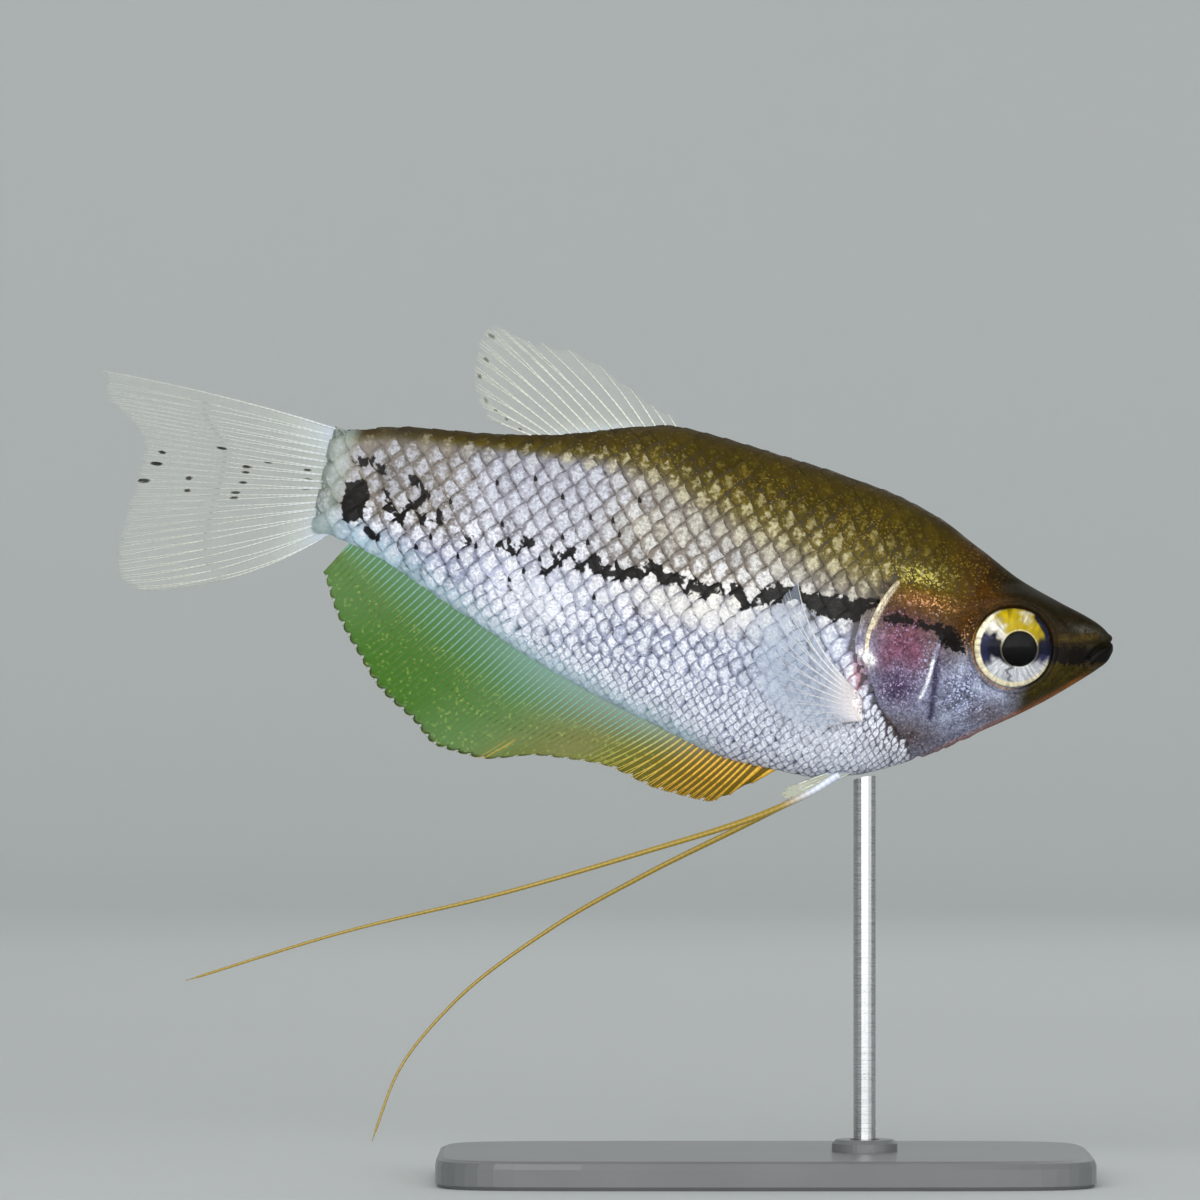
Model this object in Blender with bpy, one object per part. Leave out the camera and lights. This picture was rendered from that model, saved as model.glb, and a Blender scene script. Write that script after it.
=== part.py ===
"""A young pearl gourami as a life-size still model, held on a plain display stand.

The fish is drawn in a frame of its own: s runs back from the snout along the body's axis, h runs
up from that axis, and y runs to the fish's left. It is then pitched nose down and lifted onto its
stand. The world is in metres, with +X where the fish looks and +Z up, and its origin lies at the
middle of the stand's underside.
"""

import math

import bmesh
import bpy
import numpy as np

MM = 0.001


def mm(values):
    """Sizes written in millimetres, as an array in metres."""
    return np.array(values, dtype=float) * MM


# Gap that touching pieces keep, and the pose of the fish over its stand
GAP = 0.3 * MM
PITCH = math.radians(12.0)
SNOUT_AHEAD = 26.6 * MM
SNOUT_HEIGHT = 40.4 * MM

# Trunk outline seen from the side: distance back from the snout, height over the axis
BODY_LENGTH = 60.4 * MM
BACK_LINE = mm([(0, 0.35), (0.3, 0.85), (1.0, 1.48), (2.2, 2.02), (4.7, 2.74), (8.1, 3.83), (11.6, 5.62),
                (15.0, 7.25), (20.0, 8.52), (27.0, 9.32), (35.8, 9.92), (38.8, 9.28), (44.7, 7.42),
                (49.1, 6.5), (56.7, 5.45), (60.4, 4.35)])
BELLY_LINE = mm([(0, -0.45), (0.15, -0.85), (0.7, -1.55), (2.0, -2.85), (4.6, -5.2), (10.0, -9.3),
                 (14.0, -12.05), (18.3, -13.85), (21.0, -14.4), (26.0, -14.4), (33.3, -12.9),
                 (41.6, -10.55), (50.1, -7.3), (57.0, -4.6), (60.4, -3.9)])
HALF_WIDTH = mm([(0, 0.42), (0.5, 0.95), (1.5, 1.5), (3.0, 2.1), (5.0, 2.75), (7.5, 3.35), (10.0, 3.85),
                 (13.0, 4.3), (17.0, 4.62), (23.0, 4.6), (30.0, 4.2), (38.0, 3.5), (48.0, 2.3),
                 (55.0, 1.45), (60.4, 0.9)])
# How far up between belly and back the fish is widest, and how keeled its back and belly are
WIDEST_LEVEL = np.array([(0, 0.52), (8 * MM, 0.53), (20 * MM, 0.50), (45 * MM, 0.56), (60.4 * MM, 0.5)])
BACK_KEEL = np.array([(0, 1.0), (12 * MM, 1.05), (35 * MM, 1.25), (60.4 * MM, 1.1)])
BELLY_KEEL = np.array([(0, 1.0), (15 * MM, 1.0), (30 * MM, 1.3), (60.4 * MM, 1.2)])

RING_POINTS = 36
HEAD_SPACING = 0.85 * MM
TRUNK_SPACING = 2.2 * MM
HEAD_END = 19.0 * MM

# Mouth: a short cleft that slopes down and back from the tip, between two low lips
MOUTH_LINE = mm([(-4.0, 3.1), (-0.1, 0.72), (1.05, 0.02), (1.7, -0.95)])
JAW_REAR_LINE = mm([(2.8, -2.3), (4.0, -3.6), (4.9, -5.4), (5.3, -12.0)])
LIP_OFFSET = 0.45 * MM
LIP_WIDTH = 0.24 * MM
LIP_HEIGHT = 0.2 * MM

# Eye: a flat dome that looks sideways and a little forward
EYE_BACK = 7.53 * MM
EYE_UP = -1.41 * MM
EYE_RADIUS = 3.05 * MM
EYE_DOME = 0.85 * MM
EYE_DEPTH = 1.75 * MM
EYE_RIM = 2.98 * MM
EYE_TURN = math.radians(10.0)
ORBIT_INNER = 3.55 * MM
ORBIT_OUTER = 5.0 * MM

NOSTRILS = mm([(2.3, 0.95), (3.9, 1.15)])
NOSTRIL_RADIUS = 0.3 * MM

# Gill cover: its rear edge carries on up to the nape and down under the throat as the head's end
GILL_LINE = mm([(13.6, 14.0), (14.6, 7.0), (16.4, 3.3), (17.5, 1.3), (18.3, -0.9), (18.55, -2.9),
                (18.2, -4.8), (17.2, -6.7), (16.3, -8.1), (14.8, -9.5), (12.8, -10.9), (11.4, -12.4),
                (10.8, -17.0)])
COVER_FRONT = mm([(13.6, -8.7), (13.2, -6.6), (12.95, -4.0), (12.8, -1.4), (13.4, 0.7), (14.9, 1.9)])
COVER_TOP = 1.9 * MM
COVER_FOOT = -9.3 * MM
COVER_PROUD = 0.22 * MM
COVER_INNER = 2.1 * MM
TAIL_CUT = 49.5 * MM

# Fins: sheet thickness at the root and in the blade, and how far the rays stand out of it
ROOT_HALF = 0.5 * MM
BLADE_HALF = 0.26 * MM
RAY_RELIEF = 0.16 * MM
RAY_WIDTH = 0.2
NOTCH = 0.3 * MM

# Margins of the fins: share of the base from front to rear, then distance back and height
DORSAL_BASE = (36.3 * MM, 47.2 * MM)
DORSAL_RAYS = 15
DORSAL_MARGIN = [(0, 36.9, 10.55), (0.08, 38.4, 10.95), (0.17, 41.0, 12.25), (0.28, 45.2, 13.75),
                 (0.4, 48.4, 13.8), (0.52, 51.2, 14.4), (0.64, 52.1, 12.9), (0.76, 52.1, 11.2),
                 (0.88, 51.6, 9.2), (1, 50.3, 7.35)]
ANAL_BASE = (23.6 * MM, 58.6 * MM)
ANAL_RAYS = 38
ANAL_MARGIN = [(0, 24.8, -15.6), (0.06, 28.0, -17.75), (0.15, 31.7, -17.6), (0.25, 36.4, -16.65),
               (0.35, 41.0, -16.95), (0.45, 45.6, -18.1), (0.54, 48.8, -17.9), (0.63, 51.2, -16.3),
               (0.72, 54.0, -14.6), (0.81, 56.3, -12.2), (0.9, 58.4, -9.7), (1, 60.1, -6.7)]
CAUDAL_BASE = (4.0 * MM, -3.6 * MM)
CAUDAL_RAYS = 17
CAUDAL_MARGIN = [(0, 79.4, 4.8), (0.1, 79.0, 3.0), (0.2, 77.6, 2.1), (0.3, 76.2, 1.1), (0.4, 75.5, -0.3),
                 (0.5, 75.4, -1.9), (0.6, 75.6, -3.8), (0.7, 75.8, -5.9), (0.8, 75.8, -8.0),
                 (0.9, 75.4, -10.0), (1, 73.6, -11.0)]
CAUDAL_BEND = [(0, 0.35), (0.25, 0), (0.75, 0), (1, -1.15)]

PECTORAL_BASE = mm([(18.7, -6.9), (17.9, -9.4)])
PECTORAL_RAYS = 10
PECTORAL_MARGIN = [(0, 24.8, 0.2), (0.14, 25.7, -1.6), (0.29, 26.4, -3.7), (0.44, 26.6, -5.8),
                   (0.6, 26.1, -7.8), (0.75, 24.7, -9.5), (0.88, 22.7, -10.4), (1, 20.6, -10.6)]
PECTORAL_BEND = [(0, -0.9), (0.3, -0.3), (1, 0.3)]
PECTORAL_FLARE = {"right": 2.3 * MM, "left": 2.7 * MM}

# Pelvic fins: a stub with a few short rays, then one long feeler in three lengths
PELVIC_ROOTS = mm([(17.9, 0), (19.7, 0)])
PELVIC_SIDE = 0.95 * MM
PELVIC_RAYS = 4
PELVIC_MARGIN = [(0, 21.2, -16.1), (0.35, 21.9, -16.25), (0.7, 22.5, -16.1), (1, 22.2, -15.45)]
FEELER_RADIUS = (0.31 * MM, 0.25 * MM, 0.12 * MM)
FEELER_SIDES = 8
FEELER_STEP = 1.9 * MM
# Feeler routes: distance back, height over the axis, distance out to the fish's own side
FEELER_ROUTES = {
    "right": mm([(21.45, -16.3, 1.0), (24.4, -18.3, 1.9), (31.4, -22.2, 3.4), (41.9, -27.8, 4.6),
                 (52.5, -32.9, 4.4), (63.8, -39.2, 3.2)]),
    "left": mm([(21.45, -16.3, 1.0), (25.0, -19.2, 1.8), (31.0, -24.0, 3.0), (37.5, -29.8, 3.8),
                (43.8, -37.2, 3.4), (46.8, -43.5, 2.4), (47.5, -48.5, 1.6)])}
FEELER_LENGTHS = 3

# Stand: a flat base with a low socket and one rod up to the breast
BASE_LENGTH = 50.0 * MM
BASE_WIDTH = 30.0 * MM
BASE_THICK = 2.2 * MM
BASE_EDGE = 0.6 * MM
BASE_POINTS = 48
BASE_SQUARENESS = 7.0
SOCKET_RADIUS = 2.5 * MM
SOCKET_HEIGHT = 0.9 * MM
SOCKET_FLOOR = 1.0 * MM
ROD_RADIUS = 0.85 * MM
ROD_BACK = 16.55 * MM
ROD_SIDES = 20

# Finish of each sub-part: red, green, blue, roughness, metallic
FINISHES = {
    "back_and_head": (0.19, 0.14, 0.10, 0.4, 0.0),
    "silver_flank": (0.60, 0.58, 0.62, 0.35, 0.1),
    "cheek": (0.42, 0.40, 0.46, 0.35, 0.1),
    "eye": (0.75, 0.66, 0.42, 0.12, 0.0),
    "clear_fin": (0.66, 0.64, 0.55, 0.4, 0.0),
    "amber_fin": (0.62, 0.47, 0.18, 0.4, 0.0),
    "golden_feeler": (0.80, 0.62, 0.25, 0.4, 0.0),
    "base_enamel": (0.62, 0.62, 0.60, 0.45, 0.0),
    "rod_steel": (0.66, 0.67, 0.68, 0.3, 1.0),
}


def smooth_curve(table, x):
    """Cubic through the rows (x, value) of a table, with slopes that never overshoot a row."""
    rows = np.asarray(table, dtype=float)
    knots, values = rows[:, 0], rows[:, 1]
    step = np.diff(knots)
    rise = np.diff(values) / step
    product = rise[:-1] * rise[1:]
    total = np.where(product > 0, rise[:-1] + rise[1:], 1.0)
    inner = np.where(product > 0, 2 * product / total, 0.0)
    slope = np.concatenate([rise[:1], inner, rise[-1:]])
    at = np.clip(np.asarray(x, dtype=float), knots[0], knots[-1])
    i = np.clip(np.searchsorted(knots, at) - 1, 0, len(step) - 1)
    t = (at - knots[i]) / step[i]
    start = values[i] * (1 + 2 * t) * (1 - t) ** 2 + slope[i] * step[i] * t * (1 - t) ** 2
    end = values[i + 1] * t ** 2 * (3 - 2 * t) + slope[i + 1] * step[i] * t ** 2 * (t - 1)
    return start + end


def smooth_path(points, spacing):
    """Even steps along a smooth curve through the points, as an array of points."""
    points = np.asarray(points, dtype=float)
    reach = np.concatenate([[0.0], np.cumsum(np.linalg.norm(np.diff(points, axis=0), axis=1))])
    count = max(2, round(reach[-1] / spacing) + 1)
    at = np.linspace(0, reach[-1], count)
    return np.stack([smooth_curve(np.stack([reach, column], 1), at) for column in points.T], 1)


def fade(x, start, end):
    """Smooth step from 0 at start to 1 at end; start may be the larger of the two."""
    t = np.clip((x - start) / (end - start), 0, 1)
    return t * t * (3 - 2 * t)


def section(s):
    """Back, belly, half width, widest level and the two keels of the plain body at distance s."""
    back = smooth_curve(BACK_LINE, s)
    belly = smooth_curve(BELLY_LINE, s)
    level = belly + (back - belly) * smooth_curve(WIDEST_LEVEL, s)
    return (back, belly, smooth_curve(HALF_WIDTH, s), level,
            smooth_curve(BACK_KEEL, s), smooth_curve(BELLY_KEEL, s))


def flank_width(s, h):
    """Half width of the plain body at a point of its side view, zero outside the outline."""
    back, belly, half, level, back_keel, belly_keel = section(s)
    above = h >= level
    part = np.clip(np.where(above, (h - level) / (back - level), (level - h) / (level - belly)), 0, 1)
    return half * np.sqrt(1 - part ** 2) ** np.where(above, back_keel, belly_keel)


def belly_height(s, y):
    """Height of the underside at distance s and sideways distance y."""
    back, belly, half, level, back_keel, belly_keel = section(s)
    part = np.clip(np.abs(y) / half, 0, 1) ** (1 / belly_keel)
    return level - (level - belly) * np.sqrt(1 - part ** 2)


def lip_swell(s, h):
    """Low ridges on both sides of the mouth line, fading out behind its corner."""
    tip, corner = MOUTH_LINE[1], MOUTH_LINE[-1]
    run = (corner - tip) / np.linalg.norm(corner - tip)
    along = (s - tip[0]) * run[0] + (h - tip[1]) * run[1]
    across = np.abs((s - tip[0]) * run[1] - (h - tip[1]) * run[0])
    ridge = np.exp(-((across - LIP_OFFSET) / LIP_WIDTH) ** 2)
    length = np.linalg.norm(corner - tip)
    return LIP_HEIGHT * ridge * fade(along, 1.25 * length, 0.7 * length)


def set_orbit(s, h, width):
    """Bring the flank round the eye onto the plane of the eye's rim."""
    distance = np.hypot(s - EYE_BACK, h - EYE_UP)
    plane = EYE_RIM + math.tan(EYE_TURN) * (s - EYE_BACK)
    share = fade(distance, ORBIT_OUTER, ORBIT_INNER)
    return width + (plane - width) * share


def stations():
    """Ring places along the body: fine at the lips, then even on the head and wider on the trunk."""
    places = [0.0]
    while places[-1] < BODY_LENGTH:
        fine = 0.12 * MM + 0.3 * places[-1]
        places.append(places[-1] + min(fine, HEAD_SPACING if places[-1] < HEAD_END else TRUNK_SPACING))
    return np.array(places) * BODY_LENGTH / places[-1]


def body_grid(grow=0.0):
    """Rings of body points (s, h, y), pushed outwards by grow, with lips and orbits worked in."""
    s = stations()[:, None]
    angle = np.arange(RING_POINTS)[None, :] * 2 * math.pi / RING_POINTS
    back, belly, half, level, back_keel, belly_keel = section(s)
    up = np.sin(angle)
    tall = np.where(up > 0, back - level, level - belly) + grow
    keel = np.where(up > 0, back_keel, belly_keel)
    width = (half + grow) * np.abs(np.cos(angle)) ** keel
    h = level + tall * up
    s, h = np.broadcast_arrays(s, h)
    width = set_orbit(s, h, width + lip_swell(s, h) * np.abs(np.cos(angle)))
    return np.stack([s, h, width * np.sign(np.cos(angle))], -1)


def to_world(points):
    """Fish frame (s, h, y) to the world: pitched nose down, then set at the snout's place."""
    s, h, y = np.moveaxis(np.asarray(points, dtype=float), -1, 0)
    x = SNOUT_AHEAD - s * math.cos(PITCH) + h * math.sin(PITCH)
    z = SNOUT_HEIGHT + s * math.sin(PITCH) + h * math.cos(PITCH)
    return np.stack([x, y, z], -1)


def finish(name):
    """Material of one finish, made on its first use."""
    material = bpy.data.materials.get(name)
    if material is None:
        red, green, blue, roughness, metallic = FINISHES[name]
        material = bpy.data.materials.new(name)
        material.use_nodes = True
        shader = material.node_tree.nodes["Principled BSDF"]
        shader.inputs["Base Color"].default_value = (red, green, blue, 1)
        shader.inputs["Roughness"].default_value = roughness
        shader.inputs["Metallic"].default_value = metallic
    return material


def new_object(name, points, faces, look=None, in_world=False):
    """One closed mesh object from points and faces, facing outwards."""
    places = points if in_world else to_world(points)
    mesh = bpy.data.meshes.new(name)
    mesh.from_pydata([tuple(p) for p in places.reshape(-1, 3)], [], faces)
    shape = bmesh.new()
    shape.from_mesh(mesh)
    bmesh.ops.triangulate(shape, faces=shape.faces)
    bmesh.ops.recalc_face_normals(shape, faces=shape.faces)
    shape.to_mesh(mesh)
    shape.free()
    thing = bpy.data.objects.new(name, mesh)
    bpy.context.scene.collection.objects.link(thing)
    if look:
        mesh.materials.append(finish(look))
    return thing


def tube_faces(rings, around):
    """Quads between neighbouring rings of points, and a face over each end."""
    faces = [list(range(around)), [(rings - 1) * around + i for i in range(around)]]
    for ring in range(rings - 1):
        near, far = ring * around, (ring + 1) * around
        for i in range(around):
            j = (i + 1) % around
            faces.append([near + i, near + j, far + j, far + i])
    return faces


def loft(name, grid, look=None, in_world=False):
    """Closed solid through rings of points."""
    rings, around = grid.shape[:2]
    return new_object(name, grid, tube_faces(rings, around), look, in_world)


def side_prism(name, outline, inner, outer):
    """Side-view outline carried sideways from y = inner to y = outer."""
    rings = [np.column_stack([outline, np.full(len(outline), y)]) for y in (inner, outer)]
    return loft(name, np.stack(rings))


def cut(target, cutter, operation="DIFFERENCE", solver="EXACT"):
    """Apply one Boolean to the target, drop the cutter and keep the largest closed surface."""
    modifier = target.modifiers.new("cut", "BOOLEAN")
    modifier.operation = operation
    modifier.solver = solver
    modifier.object = cutter
    evaluated = target.evaluated_get(bpy.context.evaluated_depsgraph_get())
    target.data = bpy.data.meshes.new_from_object(evaluated)
    target.modifiers.clear()
    bpy.data.objects.remove(cutter)
    keep_largest(target)


def keep_largest(target):
    """Delete all but the connected surface that has the most volume."""
    shape = bmesh.new()
    shape.from_mesh(target.data)
    waiting = set(shape.faces)
    islands = []
    while waiting:
        queue = [waiting.pop()]
        island = set(queue)
        while queue:
            for edge in queue.pop().edges:
                for face in edge.link_faces:
                    if face in waiting:
                        waiting.discard(face)
                        island.add(face)
                        queue.append(face)
        islands.append(island)
    if len(islands) > 1:
        largest = max(islands, key=island_volume)
        spare = [face for island in islands if island is not largest for face in island]
        bmesh.ops.delete(shape, geom=spare, context="FACES")
        shape.to_mesh(target.data)
    shape.free()


def island_volume(island):
    """Volume inside a closed set of faces, from fans of tetrahedra to the origin."""
    total = 0.0
    for face in island:
        corners = [vertex.co for vertex in face.verts]
        for second, third in zip(corners[1:-1], corners[2:]):
            total += corners[0].dot(second.cross(third)) / 6
    return total


def offset_line(points, distance):
    """Polyline moved sideways, to the left of its run for a positive distance."""
    run = np.gradient(points, axis=0)
    run /= np.linalg.norm(run, axis=1)[:, None]
    return points + distance * np.stack([-run[:, 1], run[:, 0]], 1)


def gill_line():
    """Smooth rear edge of the head and gill cover, from over the nape to under the throat."""
    return smooth_path(GILL_LINE, 1.4 * MM)


def jaw_line():
    """Mouth line and then the lower jaw's rear edge, from ahead of the lips to under the chin."""
    return np.concatenate([MOUTH_LINE, JAW_REAR_LINE])


def head_outline():
    """Side view of the space that belongs to the head."""
    top = np.array([[-4.0 * MM, 14.0 * MM]])
    return np.concatenate([top, gill_line(), offset_line(jaw_line(), GAP / 2)[::-1]])


def jaw_outline():
    """Side view of the space that belongs to the lower jaw."""
    under = mm([(-4.0, -12.0)])
    return np.concatenate([offset_line(jaw_line(), -GAP / 2), under])


def trunk_outline():
    """Side view of the space that belongs to the trunk."""
    front = offset_line(gill_line(), GAP)
    rear = TAIL_CUT - GAP / 2
    return np.concatenate([front, [(rear, -17.0 * MM), (rear, 14.0 * MM)]])


def tail_outline():
    """Side view of the space that belongs to the tail stem."""
    front, rear = TAIL_CUT + GAP / 2, BODY_LENGTH + 2 * MM
    return np.array([(front, -17 * MM), (rear, -17 * MM), (rear, 14 * MM), (front, 14 * MM)])


def cover_outline(grow=0.0):
    """Side view of a gill cover, grown outwards on every side by grow."""
    line = gill_line()
    rear = line[(line[:, 1] < COVER_TOP) & (line[:, 1] > COVER_FOOT)]
    front = smooth_path(COVER_FRONT, 1.3 * MM)
    ring = np.concatenate([rear, front])
    middle = ring.mean(axis=0)
    run = np.roll(ring, -1, axis=0) - np.roll(ring, 1, axis=0)
    normal = np.stack([-run[:, 1], run[:, 0]], 1) / np.linalg.norm(run, axis=1)[:, None]
    outward = np.sign(np.sum(normal * (ring - middle), axis=1))
    return ring + normal * outward[:, None] * grow


def eye_profile(grow=0.0):
    """Lathe profile of an eye from its back to its front: radius and distance out of the rim's plane."""
    back = np.linspace(0, math.pi / 2, 4)[1:-1]
    front = np.linspace(0, math.pi / 2, 5)[:-1]
    radius = EYE_RADIUS + grow
    rows = [(radius * math.sin(a), -(EYE_DEPTH + grow) * math.cos(a)) for a in back]
    rows += [(radius * math.cos(a), (EYE_DOME + grow) * math.sin(a)) for a in front]
    return rows


def lathe_about_eye(name, profile, side, look=None):
    """Closed solid turned about the eye's axis, with the profile's ends closed flat."""
    around = 20
    angle = np.arange(around) * 2 * math.pi / around
    rings = []
    for radius, out in profile:
        back = radius * np.cos(angle)
        rings.append(np.stack([
            EYE_BACK + back * math.cos(EYE_TURN) - out * math.sin(EYE_TURN),
            EYE_UP + radius * np.sin(angle),
            side * (EYE_RIM + back * math.sin(EYE_TURN) + out * math.cos(EYE_TURN))], -1))
    return loft(name, np.stack(rings), look)


def nostril_pit(place, side):
    """Small round pit, sunk half its width into the snout."""
    bmesh_shape = bmesh.new()
    bmesh.ops.create_icosphere(bmesh_shape, subdivisions=1, radius=NOSTRIL_RADIUS)
    mesh = bpy.data.meshes.new("nostril")
    bmesh_shape.to_mesh(mesh)
    bmesh_shape.free()
    pit = bpy.data.objects.new("nostril", mesh)
    bpy.context.scene.collection.objects.link(pit)
    s, h = place
    pit.location = to_world((s, h, side * float(flank_width(s, h))))
    bpy.context.view_layer.update()
    return pit


def make_head():
    """Head with its eye sockets, nostrils and the beds of the two gill covers.

    Its small pits leave open edges behind when they are cut with EXACT, so they use MANIFOLD.
    """
    head = loft("head", body_grid(), "back_and_head")
    cut(head, side_prism("head_space", head_outline(), -9 * MM, 9 * MM), "INTERSECT")
    for side in (-1, 1):
        bed = side_prism("cover_bed", cover_outline(GAP), side * (COVER_INNER - GAP), side * 9 * MM)
        cut(head, bed, solver="MANIFOLD")
        socket = [row for row in eye_profile(GAP) if row[1] < 0]
        socket += [(EYE_RADIUS + GAP, 0.0), (EYE_RADIUS + GAP, 3 * MM)]
        cut(head, lathe_about_eye("socket", socket, side), solver="MANIFOLD")
        for place in NOSTRILS:
            cut(head, nostril_pit(place, side), solver="MANIFOLD")


def make_body_length(name, outline, look):
    """One length of the body between thin cuts."""
    part = loft(name, body_grid(), look)
    cut(part, side_prism("space", outline, -9 * MM, 9 * MM), "INTERSECT")


def make_gill_covers():
    """Gill covers, standing a little proud of the flank behind them."""
    for word, side in (("right", -1), ("left", 1)):
        cover = loft("gill_cover_" + word, body_grid(COVER_PROUD), "cheek")
        cut(cover, side_prism("space", cover_outline(), side * COVER_INNER, side * 9 * MM), "INTERSECT")


def make_eyes():
    """Eyes, each a dome on a bowl."""
    for word, side in (("right", -1), ("left", 1)):
        lathe_about_eye("eye_" + word, eye_profile(), side, "eye")


def ray_columns(rays):
    """Column places over a fin's base, three a ray, with 1 on each ray's crest and 0 beside it."""
    places, crests = [], []
    for ray in range(rays):
        for shift, crest in ((-RAY_WIDTH, 0), (0, 1), (RAY_WIDTH, 0)):
            place = (ray + shift) / (rays - 1)
            if 0 <= place <= 1:
                places.append(place)
                crests.append(crest)
    return np.array(places), np.array(crests)


def margin_points(table, share):
    """Side-view points of a fin's margin at shares of its base."""
    rows = np.array(table, dtype=float)
    return np.stack([smooth_curve(rows[:, [0, 1]], share), smooth_curve(rows[:, [0, 2]], share)], -1) * MM


def fan_grid(root, tip, crests, rows, bend):
    """Points from root to tip, with bowed rays whose tips stand out of a notched margin."""
    length = np.linalg.norm(tip - root, axis=1)[:, None]
    run = (tip - root) / length
    tip = tip + run * np.where(crests[:, None] > 0, 0.0, -NOTCH)
    v = np.linspace(0, 1, rows)[:, None, None]
    across = np.stack([-run[:, 1], run[:, 0]], 1)
    return root + (tip - root) * v + across * bend[:, None] * 4 * v * (1 - v)


def fin_thickness(v, crests, root_half=ROOT_HALF):
    """Half thickness down a fin: thick at the root, thin in the blade, with raised rays that taper."""
    sheet = BLADE_HALF + (root_half - BLADE_HALF) * np.exp(-v / 0.15)
    return sheet + RAY_RELIEF * crests[None, :] * (1 - 0.6 * v)


def sheet_solid(name, middle, half, look):
    """Closed sheet about a grid of middle points, thickened along y, split alike on both faces."""
    rows, columns = middle.shape[:2]
    shift = np.zeros_like(middle)
    shift[..., 2] = half
    points = np.stack([middle - shift, middle + shift])
    faces = []
    size = rows * columns
    for row in range(rows - 1):
        for column in range(columns - 1):
            a = row * columns + column
            b, c, d = a + 1, a + columns + 1, a + columns
            faces += [(a, b, c), (a, c, d), (size + a, size + c, size + b), (size + a, size + d, size + c)]
    rim = list(range(columns)) + [row * columns + columns - 1 for row in range(1, rows)]
    rim += [(rows - 1) * columns + column for column in range(columns - 2, -1, -1)]
    rim += [row * columns for row in range(rows - 2, 0, -1)]
    for a, b in zip(rim, rim[1:] + rim[:1]):
        faces += [(a, size + b, b), (a, size + a, size + b)]
    return new_object(name, points, faces, look)


def middle_fin(name, root, table, rays, rows, bend, wave, look):
    """Unpaired fin that stands in the body's middle plane and waves a little towards its margin."""
    places, crests = ray_columns(rays)
    grid = fan_grid(root(places), margin_points(table, places), crests, rows, bend(places))
    v = np.linspace(0, 1, rows)[:, None]
    side = wave(places)[None, :] * v ** 2
    middle = np.concatenate([grid, side[..., None]], -1)
    sheet_solid(name, middle, fin_thickness(v, crests), look)


def make_dorsal_fin():
    """Dorsal fin, a short fan with a high pointed rear."""
    def root(places):
        s = DORSAL_BASE[0] + (DORSAL_BASE[1] - DORSAL_BASE[0]) * places
        return np.stack([s, smooth_curve(BACK_LINE, s) + GAP], -1)

    middle_fin("dorsal_fin", root, DORSAL_MARGIN, DORSAL_RAYS, 8,
               lambda places: 0.2 * MM * np.sin(math.pi * places),
               lambda places: 0.5 * MM * np.sin(5.0 * places), "clear_fin")


def make_anal_fin():
    """Anal fin, a long fan of close rays under the rear two thirds of the body."""
    def root(places):
        s = ANAL_BASE[0] + (ANAL_BASE[1] - ANAL_BASE[0]) * places
        return np.stack([s, smooth_curve(BELLY_LINE, s) - GAP], -1)

    middle_fin("anal_fin", root, ANAL_MARGIN, ANAL_RAYS, 7,
               lambda places: -0.25 * MM * np.sin(math.pi * places),
               lambda places: 0.6 * MM * np.sin(11.0 * places + 0.6), "amber_fin")


def make_caudal_fin():
    """Caudal fin, a broad fan with a shallow notch."""
    def root(places):
        h = CAUDAL_BASE[0] + (CAUDAL_BASE[1] - CAUDAL_BASE[0]) * places
        return np.stack([np.full(len(h), BODY_LENGTH + GAP), h], -1)

    middle_fin("caudal_fin", root, CAUDAL_MARGIN, CAUDAL_RAYS, 9,
               lambda places: MM * smooth_curve(CAUDAL_BEND, places),
               lambda places: 0.9 * MM * np.sin(4.4 * places - 1.2), "clear_fin")


def make_pectoral_fins():
    """Pectoral fins, which fan out from the flank behind the gill covers."""
    rows = 8
    places, crests = ray_columns(PECTORAL_RAYS)
    root = PECTORAL_BASE[0] + (PECTORAL_BASE[1] - PECTORAL_BASE[0]) * places[:, None]
    bend = MM * smooth_curve(PECTORAL_BEND, places)
    grid = fan_grid(root, margin_points(PECTORAL_MARGIN, places), crests, rows, bend)
    v = np.linspace(0, 1, rows)[:, None]
    half = fin_thickness(v, crests)
    for word, side in (("right", -1), ("left", 1)):
        out = flank_width(grid[..., 0], grid[..., 1]) + GAP + half + PECTORAL_FLARE[word] * v ** 1.2
        middle = np.concatenate([grid, side * out[..., None]], -1)
        sheet_solid("pectoral_fin_" + word, middle, half, "clear_fin")


def make_pelvic_fins():
    """Short rays of the pelvic fins, side by side under the breast."""
    rows = 5
    places, crests = ray_columns(PELVIC_RAYS)
    s = PELVIC_ROOTS[0, 0] + (PELVIC_ROOTS[1, 0] - PELVIC_ROOTS[0, 0]) * places
    root = np.stack([s, belly_height(s, PELVIC_SIDE - ROOT_HALF) - GAP], -1)
    grid = fan_grid(root, margin_points(PELVIC_MARGIN, places), crests, rows, np.zeros(len(places)))
    v = np.linspace(0, 1, rows)[:, None]
    half = fin_thickness(v, crests, 0.45 * MM)
    for word, side in (("right", -1), ("left", 1)):
        middle = np.concatenate([grid, np.full(grid.shape[:2] + (1,), side * PELVIC_SIDE)], -1)
        sheet_solid("pelvic_fin_" + word, middle, half, "clear_fin")


def tube_rings(path, radius):
    """Rings of points round a path that lies nearly in the side view."""
    run = np.gradient(path, axis=0)
    run /= np.linalg.norm(run, axis=1)[:, None]
    first = np.cross(run, (0.0, 0.0, 1.0))
    first /= np.linalg.norm(first, axis=1)[:, None]
    second = np.cross(run, first)
    angle = np.arange(FEELER_SIDES) * 2 * math.pi / FEELER_SIDES
    ring = np.cos(angle)[None, :, None] * first[:, None] + np.sin(angle)[None, :, None] * second[:, None]
    return path[:, None] + ring * radius[:, None, None]


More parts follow.
